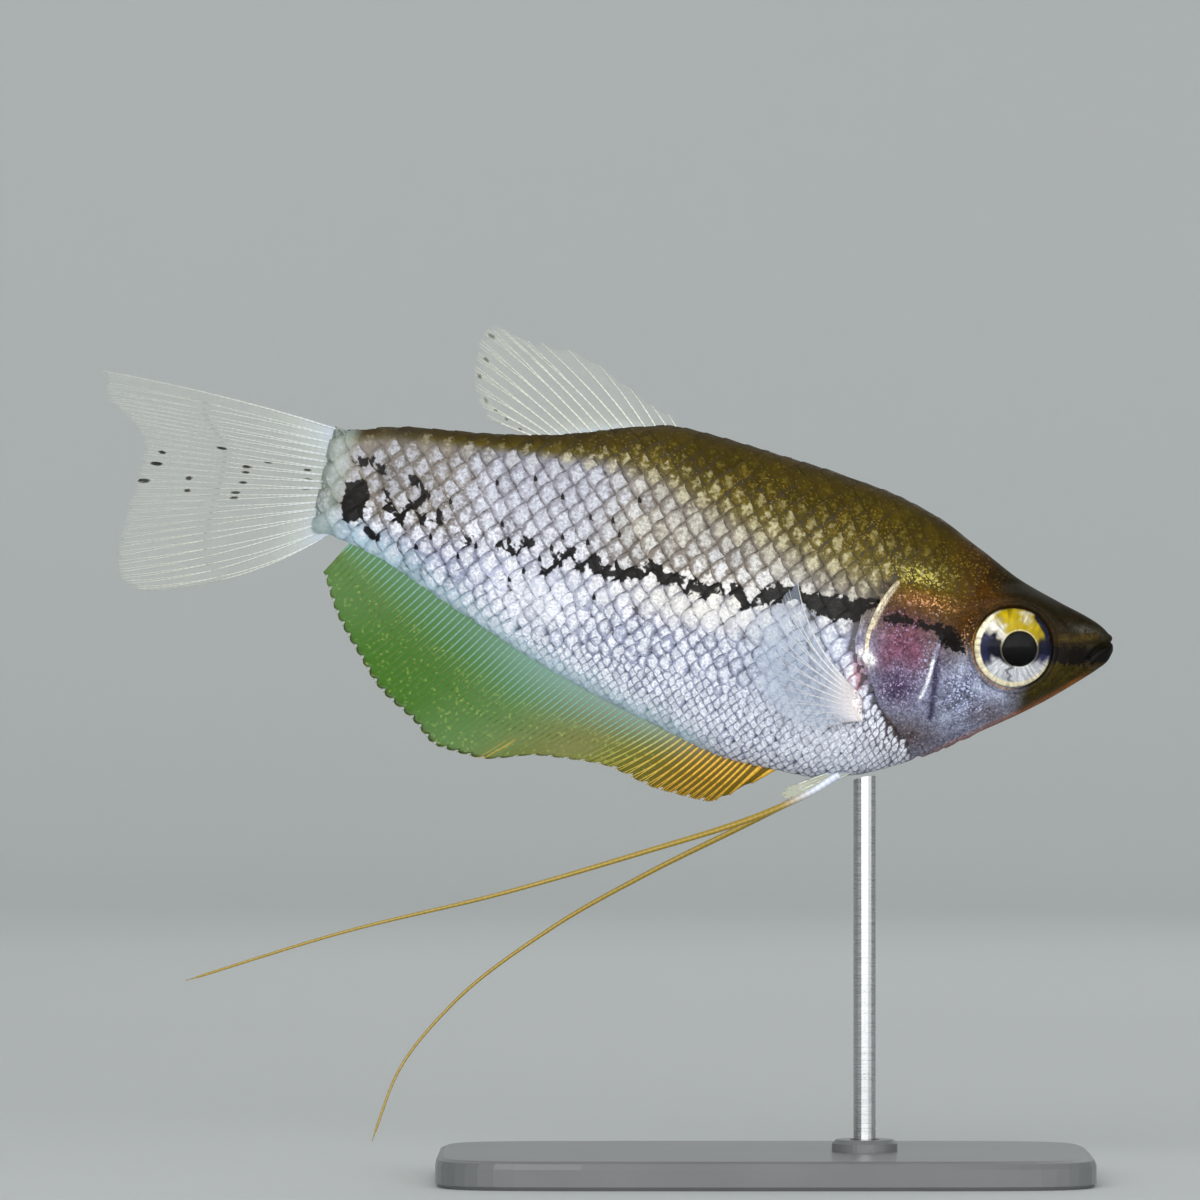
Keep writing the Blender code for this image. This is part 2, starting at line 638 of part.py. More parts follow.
def make_feelers():
    """Long pelvic feelers, each in three lengths that meet end to end and taper to the tip."""
    for word, side in (("right", -1), ("left", 1)):
        path = smooth_path(FEELER_ROUTES[word], GAP)
        path[:, 2] *= side
        share = np.linspace(0, 1, len(path))
        radius = smooth_curve(np.stack([(0.0, 0.75, 1.0), FEELER_RADIUS], 1), share)
        ends = np.linspace(0, len(path), FEELER_LENGTHS + 1).astype(int)
        for number, (start, end) in enumerate(zip(ends[:-1], ends[1:]), 1):
            length = path[start:end]
            count = max(3, round(len(length) * GAP / FEELER_STEP))
            picks = start + np.linspace(0, len(length) - 1, count).round().astype(int)
            name = "pelvic_feeler_%s_%d" % (word, number)
            loft(name, tube_rings(path[picks], radius[picks]), "golden_feeler")


def base_ring(inset, z):
    """Rounded rectangle of the base at height z, moved inwards by inset."""
    angle = np.arange(BASE_POINTS) * 2 * math.pi / BASE_POINTS
    power = 2 / BASE_SQUARENESS
    across = np.sign(np.cos(angle)) * np.abs(np.cos(angle)) ** power
    deep = np.sign(np.sin(angle)) * np.abs(np.sin(angle)) ** power
    x = (BASE_LENGTH / 2 - inset) * across
    y = (BASE_WIDTH / 2 - inset) * deep
    return np.stack([x, y, np.full(BASE_POINTS, z)], -1)


def round_ring(radius, z, points=BASE_POINTS):
    """Circle about the rod at height z."""
    angle = np.arange(points) * 2 * math.pi / points
    return np.stack([rod_place() + radius * np.cos(angle), radius * np.sin(angle), np.full(points, z)], -1)


def rod_place():
    """World X of the rod, under the breast at its distance back from the snout."""
    foot = to_world((ROD_BACK, float(smooth_curve(BELLY_LINE, ROD_BACK)), 0.0))
    return float(foot[0])


def make_stand():
    """Base plate with a low socket, and the rod whose top follows the breast."""
    hole = ROD_RADIUS + GAP
    top = BASE_THICK + SOCKET_HEIGHT
    rings = [base_ring(0.5 * BASE_EDGE, 0.0), base_ring(0.0, 0.5 * BASE_EDGE),
             base_ring(0.0, BASE_THICK - BASE_EDGE),
             base_ring(0.3 * BASE_EDGE, BASE_THICK - 0.3 * BASE_EDGE), base_ring(BASE_EDGE, BASE_THICK),
             round_ring(SOCKET_RADIUS, BASE_THICK), round_ring(SOCKET_RADIUS, top - 0.5 * BASE_EDGE),
             round_ring(SOCKET_RADIUS - 0.5 * BASE_EDGE, top), round_ring(hole, top),
             round_ring(hole, SOCKET_FLOOR)]
    loft("stand_base", np.stack(rings), "base_enamel", in_world=True)
    rod_top = SNOUT_HEIGHT
    ends = [round_ring(ROD_RADIUS, z, ROD_SIDES) for z in (SOCKET_FLOOR + GAP, rod_top)]
    rod = loft("stand_rod", np.stack(ends), "rod_steel", in_world=True)
    cut(rod, loft("breast", body_grid(GAP)))


def shade(thing, angle=math.radians(35)):
    """Smooth shading that keeps the crisp edges of cuts and rims."""
    thing.data.shade_smooth()
    thing.data.set_sharp_from_angle(angle=angle)


def main():
    for thing in list(bpy.data.objects):
        bpy.data.objects.remove(thing)
    make_head()
    make_body_length("lower_jaw", jaw_outline(), "back_and_head")
    make_body_length("trunk", trunk_outline(), "silver_flank")
    make_body_length("tail_stem", tail_outline(), "silver_flank")
    make_gill_covers()
    make_eyes()
    make_dorsal_fin()
    make_anal_fin()
    make_caudal_fin()
    make_pectoral_fins()
    make_pelvic_fins()
    make_feelers()
    make_stand()
    for thing in bpy.data.objects:
        shade(thing)


main()
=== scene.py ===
"""A young pearl gourami on its display stand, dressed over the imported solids.

The fish is drawn in the frame that its solids use: s runs back from the snout along the body's axis,
h runs up from that axis and y runs to the fish's left. fish_to_world pitches it nose down and lifts
it onto the stand. Sizes are in metres, and a flank is worked out once and mirrored to the other side.
"""
import math

import bpy
import numpy as np
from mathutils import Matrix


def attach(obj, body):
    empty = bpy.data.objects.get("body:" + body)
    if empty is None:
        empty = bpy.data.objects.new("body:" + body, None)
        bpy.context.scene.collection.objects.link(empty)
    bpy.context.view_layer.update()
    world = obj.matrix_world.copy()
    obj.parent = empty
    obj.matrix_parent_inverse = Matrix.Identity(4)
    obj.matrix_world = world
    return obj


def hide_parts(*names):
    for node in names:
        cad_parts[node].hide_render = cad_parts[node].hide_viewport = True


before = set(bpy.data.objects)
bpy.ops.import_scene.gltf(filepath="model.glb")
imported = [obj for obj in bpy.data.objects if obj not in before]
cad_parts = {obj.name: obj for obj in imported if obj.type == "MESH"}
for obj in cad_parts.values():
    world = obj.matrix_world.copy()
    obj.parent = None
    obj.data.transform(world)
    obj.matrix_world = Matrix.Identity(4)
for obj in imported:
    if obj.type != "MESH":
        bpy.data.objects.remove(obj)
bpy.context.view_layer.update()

bl_info = {
    "name": "Pearl gourami model",
    "version": (1, 0, 0),
    "blender": (4, 5, 0),
    "location": "3D View > Sidebar > Gourami",
    "description": "Skin, scales, eyes, fins, stand and stage of a life-size young pearl gourami",
    "category": "Add Mesh",
}

MM = 0.001
SIDES = (("right", -1), ("left", 1))
MOST_TRIANGLES = 200_000


def mm(values):
    """Sizes written in millimetres, as an array in metres."""
    return np.array(values, dtype=float) * MM


# Pose of the fish over its stand
PITCH = math.radians(12.0)
SNOUT_AHEAD = 26.6 * MM
SNOUT_HEIGHT = 40.4 * MM

# Body seen from the side, its half width and how keeled it is, by distance back from the snout
BODY_LENGTH = 60.4 * MM
BACK_LINE = mm([(0, 0.35), (0.3, 0.85), (1.0, 1.48), (2.2, 2.02), (4.7, 2.74), (8.1, 3.83), (11.6, 5.62),
                (15.0, 7.25), (20.0, 8.52), (27.0, 9.32), (35.8, 9.92), (38.8, 9.28), (44.7, 7.42),
                (49.1, 6.5), (56.7, 5.45), (60.4, 4.35)])
BELLY_LINE = mm([(0, -0.45), (0.15, -0.85), (0.7, -1.55), (2.0, -2.85), (4.6, -5.2), (10.0, -9.3),
                 (14.0, -12.05), (18.3, -13.85), (21.0, -14.4), (26.0, -14.4), (33.3, -12.9),
                 (41.6, -10.55), (50.1, -7.3), (57.0, -4.6), (60.4, -3.9)])
HALF_WIDTH = mm([(0, 0.42), (0.5, 0.95), (1.5, 1.5), (3.0, 2.1), (5.0, 2.75), (7.5, 3.35), (10.0, 3.85),
                 (13.0, 4.3), (17.0, 4.62), (23.0, 4.6), (30.0, 4.2), (38.0, 3.5), (48.0, 2.3),
                 (55.0, 1.45), (60.4, 0.9)])
WIDEST_LEVEL = np.array([(0, 0.52), (8 * MM, 0.53), (20 * MM, 0.50), (45 * MM, 0.56), (60.4 * MM, 0.5)])
BACK_KEEL = np.array([(0, 1.0), (12 * MM, 1.05), (35 * MM, 1.25), (60.4 * MM, 1.1)])
BELLY_KEEL = np.array([(0, 1.0), (15 * MM, 1.0), (30 * MM, 1.3), (60.4 * MM, 1.2)])
BODY_TABLES = (BACK_LINE, BELLY_LINE, HALF_WIDTH, WIDEST_LEVEL, BACK_KEEL, BELLY_KEEL)
NOSE_ROUND = 0.3 * MM
TAIL_ROUND = 1.2 * MM

# Mouth, jaw, eye, nostrils and gill cover, in places as the solids have them
MOUTH_LINE = mm([(-0.4, 0.92), (-0.1, 0.72), (1.05, 0.02), (1.7, -0.95)])
JAW_REAR_LINE = mm([(1.7, -0.95), (2.8, -2.3), (4.0, -3.6), (4.9, -5.4)])
EYE_BACK = 7.62 * MM
EYE_UP = -1.41 * MM
EYE_RADIUS = 3.05 * MM
EYE_DOME = 0.85 * MM
EYE_DEPTH = 1.75 * MM
EYE_RIM = 2.98 * MM
EYE_FOLD = 3.33 * MM
EYE_TURN = math.radians(10.0)
ORBIT_INNER = 3.55 * MM
ORBIT_OUTER = 5.0 * MM
ORBIT_DEPTH = 1.3 * MM
IRIS_DOME = 0.5 * MM
LENS_RISE = 0.28 * MM
PUPIL_SHIFT = -0.42 * MM
NOSTRILS = mm([(2.3, 0.95), (3.9, 1.15)])
GILL_LINE = mm([(13.6, 14.0), (14.6, 7.0), (16.4, 3.3), (17.5, 1.3), (18.3, -0.9), (18.55, -2.9),
                (18.2, -4.8), (17.2, -6.7), (16.3, -8.1), (14.8, -9.5), (12.8, -10.9), (11.4, -12.4),
                (10.8, -17.0)])
COVER_FRONT = mm([(13.6, -8.7), (13.2, -6.6), (12.95, -4.0), (12.8, -1.4), (13.4, 0.7), (14.9, 1.9)])
PREOPERCLE = mm([(13.0, -1.7), (13.25, -2.6), (13.38, -3.6), (13.4, -4.6), (13.5, -5.6), (13.72, -6.6)])
CHEEK_FOLD = mm([(13.05, -3.6), (12.92, -5.0), (12.78, -6.4), (12.7, -7.9)])

# Fins as the solids have them: margins as share of the base, distance back and height
DORSAL_BASE = (36.3 * MM, 47.2 * MM)
DORSAL_RAYS = 15
DORSAL_MARGIN = [(0, 36.9, 10.55), (0.08, 38.4, 10.95), (0.17, 41.0, 12.25), (0.28, 45.2, 13.75),
                 (0.4, 48.4, 13.8), (0.52, 51.2, 14.4), (0.64, 52.1, 12.9), (0.76, 52.1, 11.2),
                 (0.88, 51.6, 9.2), (1, 50.3, 7.35)]
ANAL_BASE = (23.6 * MM, 58.6 * MM)
ANAL_RAYS = 38
ANAL_MARGIN = [(0, 24.8, -15.6), (0.06, 28.0, -17.75), (0.15, 31.7, -17.6), (0.25, 36.4, -16.65),
               (0.35, 41.0, -16.95), (0.45, 45.6, -18.1), (0.54, 48.8, -17.9), (0.63, 51.2, -16.3),
               (0.72, 54.0, -14.6), (0.81, 56.3, -12.2), (0.9, 58.4, -9.7), (1, 60.1, -6.7)]
CAUDAL_BASE = (4.0 * MM, -3.6 * MM)
CAUDAL_RAYS = 17
CAUDAL_MARGIN = [(0, 79.4, 4.8), (0.1, 79.0, 3.0), (0.2, 77.6, 2.1), (0.3, 76.2, 1.1), (0.4, 75.5, -0.3),
                 (0.5, 75.4, -1.9), (0.6, 75.6, -3.8), (0.7, 75.8, -5.9), (0.8, 75.8, -8.0),
                 (0.9, 75.4, -10.0), (1, 73.6, -11.0)]
CAUDAL_BEND = [(0, 0.35), (0.25, 0), (0.75, 0), (1, -1.15)]
PECTORAL_BASE = mm([(18.7, -6.9), (17.9, -9.4)])
PECTORAL_RAYS = 11
PECTORAL_MARGIN = [(0, 24.8, 0.2), (0.14, 25.7, -1.6), (0.29, 26.4, -3.7), (0.44, 26.6, -5.8),
                   (0.6, 26.1, -7.8), (0.75, 24.7, -9.5), (0.88, 22.7, -10.4), (1, 20.6, -10.6)]
PECTORAL_BEND = [(0, -0.9), (0.3, -0.3), (1, 0.3)]
PECTORAL_FLARE = {"right": 2.3 * MM, "left": 2.7 * MM}
PELVIC_ROOTS = (17.9 * MM, 19.7 * MM)
PELVIC_SIDE = 0.95 * MM
PELVIC_RAYS = 5
PELVIC_MARGIN = [(0, 21.2, -16.1), (0.35, 21.9, -16.25), (0.7, 22.5, -16.1), (1, 22.2, -15.45)]
FEELER_ROUTES = {
    "right": mm([(18.5, -13.6, 0.85), (20.1, -15.2, 0.9), (21.45, -16.3, 1.0), (24.4, -18.3, 1.9),
                 (31.4, -22.2, 3.4), (41.9, -27.8, 4.6), (52.5, -32.9, 4.4), (63.8, -39.2, 3.2)]),
    "left": mm([(18.5, -13.6, 0.85), (20.1, -15.2, 0.9), (21.45, -16.3, 1.0), (25.0, -19.2, 1.8),
                (31.0, -24.0, 3.0), (37.5, -29.8, 3.8), (43.8, -37.2, 3.4), (46.8, -43.5, 2.4),
                (47.5, -48.5, 1.6)])}

# Black specks of the fins: share of the base, share of the length, and the reach in each
DORSAL_SPECKS = [(0.98, 0.35, 0.015, 0.04), (0.95, 0.6, 0.016, 0.035), (0.9, 0.88, 0.02, 0.03),
                 (0.8, 0.94, 0.015, 0.03), (0.7, 0.92, 0.014, 0.035), (0.58, 0.95, 0.014, 0.025),
                 (0.93, 0.76, 0.015, 0.03)]
CAUDAL_SPECKS = [(0.34, 0.62, 0.01, 0.03), (0.44, 0.5, 0.016, 0.026), (0.475, 0.5, 0.01, 0.024),
                 (0.54, 0.5, 0.01, 0.026), (0.6, 0.52, 0.01, 0.026), (0.63, 0.52, 0.01, 0.026),
                 (0.53, 0.76, 0.012, 0.02), (0.59, 0.75, 0.01, 0.02), (0.39, 0.4, 0.009, 0.025),
                 (0.41, 0.21, 0.012, 0.025), (0.49, 0.2, 0.012, 0.022), (0.57, 0.2, 0.01, 0.022),
                 (0.47, 0.93, 0.011, 0.035), (0.55, 0.97, 0.011, 0.035), (0.41, 0.91, 0.01, 0.02)]

# Fleshy lobe at the pectoral fin's base: middle, half length and half width, lean and height
LOBE_MIDDLE = mm((19.1, -8.3))
LOBE_REACH = mm((1.3, 1.45))
LOBE_LEAN = math.radians(-18)
LOBE_HEIGHT = 0.6 * MM

# Black marks, in millimetres: strokes of (distance back, height, half thickness)
BLACK_STROKES = [
    [(-0.1, -0.1, 0.55), (0.9, -0.6, 0.7), (2.35, -1.05, 0.75), (4.3, -1.25, 0.7)],
    [(11.4, -2.45, 0.35), (12.0, -2.1, 0.6), (12.65, -1.6, 0.85), (13.3, -1.25, 0.55), (14.2, -1.2, 0.34),
     (15.3, -1.1, 0.3), (16.0, -1.1, 0.45), (16.9, -1.2, 0.5), (17.6, -1.2, 0.3)],
    [(18.5, -0.4, 0.3), (20.2, -1.15, 0.8), (21.8, -1.35, 0.92), (23.0, -1.2, 0.65), (23.7, -0.95, 0.35),
     (24.3, -0.95, 0.35), (25.0, -0.9, 0.62), (25.8, -1.05, 0.72), (26.6, -1.35, 0.5), (27.35, -2.3, 0.3)],
    [(29.55, -1.2, 0.32), (28.95, -1.75, 0.42), (28.15, -2.65, 0.28)],
    [(30.3, -1.65, 0.32), (31.1, -2.1, 0.48), (31.9, -2.0, 0.5), (32.55, -2.4, 0.3)],
    [(32.3, -1.9, 0.3), (32.9, -1.5, 0.33), (34.0, -1.75, 0.42), (34.9, -1.7, 0.42), (35.4, -1.25, 0.36),
     (35.9, -1.05, 0.36), (36.2, -1.6, 0.34), (37.4, -2.1, 0.38), (38.6, -2.25, 0.42),
     (39.45, -2.2, 0.32), (39.9, -1.5, 0.42), (40.3, -2.1, 0.34), (41.3, -2.3, 0.2)],
    [(41.8, -1.3, 0.3), (42.7, -1.65, 0.3), (42.95, -2.3, 0.25), (43.7, -3.2, 0.17)],
    [(44.8, -1.35, 0.24), (45.65, -1.2, 0.26)],
    [(46.05, -1.6, 0.24), (46.2, -2.15, 0.22), (47.3, -1.9, 0.25)],
    [(49.5, -1.65, 0.2), (50.1, -2.3, 0.24)],
    [(52.0, -0.5, 0.17), (52.3, -1.0, 0.22), (53.1, -1.4, 0.21), (53.65, -0.9, 0.17)],
    [(55.2, -1.75, 0.2), (55.0, -0.5, 0.2), (54.0, 0.0, 0.19), (53.8, 0.9, 0.17)],
    [(56.7, 0.3, 0.15), (56.3, -0.9, 0.23), (55.4, -1.65, 0.18)],
    [(57.2, 1.7, 0.16), (58.0, 2.5, 0.18)],
    [(59.35, 2.35, 0.3), (58.65, 2.05, 0.24)],
    [(55.2, 1.8, 0.2), (54.5, 1.35, 0.2)],
    [(57.6, -2.9, 0.14), (56.7, -3.25, 0.18)],
    [(58.95, -0.1, 0.86), (58.85, -1.7, 0.84)],
]
# Depth that stands for every place outside the marks
BLACK_OUTSIDE = -0.45 * MM

# Soft patches of colour: distance back, height, reach along and up, colour, strength
COLOUR_PATCHES = [
    (20.5, 2.6, 2.2, 1.6, "olive_pale", 0.4),
    (31.5, -3.7, 6.0, 1.1, "cream", 0.6),
    (24.5, -5.0, 3.4, 3.4, "blue_white", 0.65),
    (44.0, -5.3, 3.6, 1.9, "pearl_low", 0.6),
    (56.0, 2.2, 3.0, 2.6, "stem_shade", 0.6),
    (20.0, -11.5, 3.6, 1.7, "pearl_low", 0.4),
    (18.9, -6.4, 0.8, 1.8, "gill_pink", 0.85),
    (2.3, 1.0, 1.3, 0.35, "snout_grey", 0.5),
    (3.4, -2.4, 2.0, 0.75, "jaw_olive", 0.8),
    (5.6, -4.9, 2.2, 0.8, "jaw_olive", 0.7),
    (8.6, -6.8, 2.4, 1.2, "lavender", 0.75),
    (10.6, -5.8, 1.7, 2.2, "cheek_blue", 0.85),
    (11.4, 0.1, 1.5, 1.6, "head_brown", 0.6),
    (15.4, 2.2, 2.2, 0.9, "gill_gold", 0.75),
    (15.0, 0.75, 2.1, 0.65, "gill_orange", 0.75),
    (16.2, -2.9, 2.3, 2.0, "magenta", 0.82),
    (14.7, -3.6, 1.7, 1.9, "magenta", 0.75),
    (15.4, -6.3, 1.9, 1.6, "purple", 0.9),
    (13.7, -3.3, 0.45, 1.5, "lavender", 0.6),
    (12.3, -3.2, 0.8, 1.1, "head_brown", 0.45),
    (14.2, -9.6, 3.4, 1.7, "throat", 0.9),
    (17.0, -4.2, 0.8, 1.3, "magenta", 0.65),
    (16.4, -6.3, 1.0, 1.3, "purple", 0.6),
    (11.2, -3.8, 0.35, 0.8, "blue_white", 0.35),
    (9.6, -4.95, 0.5, 0.4, "blue_white", 0.45),
    (11.6, -7.7, 0.8, 0.45, "blue_white", 0.35),
    (10.5, -6.9, 0.45, 0.6, "spark_blue", 0.3),
    (7.9, -5.4, 0.7, 0.35, "blue_white", 0.25),
    (10.4, -4.4, 0.4, 0.6, "cheek_shadow", 0.5),
    (12.0, -5.9, 0.5, 0.8, "cheek_shadow", 0.35),
]
# Lines of colour: points, half width, colour
COLOUR_LINES = [
    (CHEEK_FOLD, 0.3 * MM, "cheek_shadow"),
    (PREOPERCLE, 0.12 * MM, "ridge_grey"),
    (PREOPERCLE[2:], 0.15 * MM, "pale_ridge"),
    (mm([(4.3, 0.0), (3.0, 0.3), (1.6, 0.75)]), 0.34 * MM, "snout_gold"),
    (mm([(17.2, 1.6), (17.65, 0.5), (18.05, -0.7), (18.4, -2.2)]), 0.12 * MM, "rim_cream"),
    # Painted highlight: a white stroke where the gill cover's rear edge catches the light
    (mm([(18.75, -4.1), (18.0, -4.6)]), 0.45 * MM, "white"),
]
# Where painted glints lie: distance back, height, reach along and up, colour, amount
PAINTED_GLINT_PATCHES = [
    (15.6, 2.4, 2.4, 1.0, "spark_gold", 0.5),
    (14.6, 0.7, 2.6, 0.9, "spark_orange", 0.42),
    (12.6, 3.6, 3.0, 2.6, "spark_bronze", 0.22),
    (21.0, 4.4, 5.5, 3.0, "spark_bronze", 0.26),
    (29.0, 6.0, 6.5, 2.6, "spark_bronze", 0.22),
    (38.0, 6.8, 6.0, 2.0, "spark_bronze", 0.18),
    (11.0, -1.6, 0.9, 1.8, "spark_orange", 0.3),
    (10.6, -5.6, 2.0, 2.6, "spark_blue", 0.42),
    (13.9, -4.2, 0.8, 2.8, "spark_blue", 0.3),
    (15.4, -6.0, 2.4, 2.4, "spark_violet", 0.28),
    (14.0, -9.8, 3.6, 1.8, "spark_blue", 0.12),
    (16.6, -1.6, 1.8, 1.6, "spark_violet", 0.26),
    (24.0, -9.5, 7.0, 4.0, "white", 0.17),
    (37.0, -6.0, 14.0, 5.0, "white", 0.17),
    (50.0, -0.5, 12.0, 5.0, "white", 0.12),
]

# Ticks of black at scale edges: distance back from, to, height of the middle, reach up
TICK_ZONE = (37.0 * MM, 56.0 * MM, -0.3 * MM, 4.0 * MM)
TICK_SHARE = 0.3
TICK_DEPTH = 0.45 * MM

# Scales: highest girth of the middle and the fine zone, period, row step and lift of the cheek's
# scales, their least distance from the middle plane, and the seeds of the random draws
MIDDLE_ZONE = -2.9 * MM
FINE_ZONE = -6.2 * MM
CHEEK_SCALE = (0.72 * MM, 0.46 * MM)
CHEEK_LIFT = 0.1 * MM
SCALE_CLEARANCE = 0.02 * MM
SEEDS = {"right": 11, "left": 7}

# How deep below the back the olive shade reaches, by distance back
BACK_SHADE = mm([(0, 2.5), (8, 4.2), (12, 5.5), (16, 6.6), (22, 7.0), (27, 6.4), (32, 5.4), (37, 3.9),
                 (42, 2.3), (48, 1.4), (60, 0.9)])

# Skin grid, and the girth's zero level and steps
AXIS_HEIGHT = -1.3 * MM
HEAD_END = 19.6 * MM
HEAD_SPACING = 0.115 * MM
TRUNK_SPACING = 0.5 * MM
FLANK_COLUMNS = 150
GIRTH_STEP = 0.1 * MM
GIRTH_REACH = (-19.0 * MM, 15.0 * MM)
BAKE_PATCH = 0.003
END_RINGS = 8

# Faces round each round piece, and steps along a ray
EYE_AROUND, CORNEA_AROUND, FOLD_AROUND = 160, 96, 14
RAY_STEPS, RAY_SIDES, FEELER_SIDES, RIM_SIDES = 12, 6, 10, 10
LOBE_RINGS, LOBE_AROUND, FLOOR_AROUND = 14, 40, 96

# Camera frame, from the photograph: real size of one of its 1200 pixels, and where the snout is in it
PIXEL = 60.0 * MM / 787
FRAME_PIXELS = 1200
SNOUT_PIXEL = (1113, 650)
LENS = 300.0
SENSOR = 36.0

# Stage: radius of the floor's bend, and lamps with place, aim, width across and power in watts
WALL_BEND = 0.35
AT_FISH, AT_BACKDROP = (-0.004, 0.0, 0.035), (0.0, 1.1, 0.15)
LAMPS = [
    ("key", (-0.2, -0.6, 0.27), AT_FISH, 0.6, 3.2),
    ("low", (0.2, -0.6, 0.1), AT_FISH, 0.5, 2.0),
    ("fill", (0.5, -0.3, 0.16), AT_FISH, 0.4, 0.6),
    ("top", (0.0, 0.0, 0.6), AT_FISH, 0.4, 0.25),
    ("rear", (0.1, 0.5, 0.3), AT_FISH, 0.4, 0.15),
    ("wash", (0.0, 0.5, 0.9), AT_BACKDROP, 1.0, 3.0),
]

# Mix node sockets for colours
FACTOR, BELOW, ABOVE, MIXED = 0, 6, 7, 2


def linear(hexa):
    """Linear red, green and blue of an sRGB hex colour."""
    values = [int(hexa[i:i + 2], 16) / 255 for i in (0, 2, 4)]
    return tuple(v / 12.92 if v <= 0.04045 else ((v + 0.055) / 1.055) ** 2.4 for v in values)


def size(name, words, millimetres):
    """Length property of the sizes group."""
    return bpy.props.FloatProperty(name=name, description=words, default=millimetres * MM, min=0.0,
                                   unit="LENGTH", subtype="DISTANCE", precision=5)


def tint(name, words, hexa):
    """Colour property of the colours group."""
    return bpy.props.FloatVectorProperty(name=name, description=words, default=linear(hexa),
                                         min=0.0, max=1.0, size=3, subtype="COLOR")


class GouramiSizes(bpy.types.PropertyGroup):
    """Sizes that a user would change."""

    coat_depth: size("Coat depth", "How far the skin lies under the tops of the flank scales", 0.15)
    bare_depth: size("Bare depth", "How far the bare skin of the head lies inside the solids", 0.03)
    scale_period: size("Scale period", "Distance between flank scales along a row", 1.65)
    scale_row: size("Scale row", "Distance between rows of flank scales", 1.0)
    fine_period: size("Fine scale period", "Distance between belly scales along a row", 0.76)
    fine_row: size("Fine scale row", "Distance between rows of belly scales", 0.48)
    scale_lift: size("Scale lift", "Rise of a flank scale's free edge over its root", 0.15)
    scale_thick: size("Scale thickness", "Thickness of a scale's free edge", 0.035)
    pupil: size("Pupil radius", "Radius of the pupil", 1.36)
    cornea: size("Cornea thickness", "Thickness of the clear cornea", 0.1)
    membrane: size("Membrane thickness", "Half thickness of a fin's skin between its rays", 0.03)
    ray: size("Ray radius", "Radius of a fin ray at its root", 0.095)
    feeler_root: size("Feeler root", "Radius of a feeler at its root", 0.27)
    feeler_tip: size("Feeler tip", "Radius of a feeler at its tip", 0.1)
    floor_radius: size("Floor radius", "Radius of the flat floor before it curves up", 700.0)


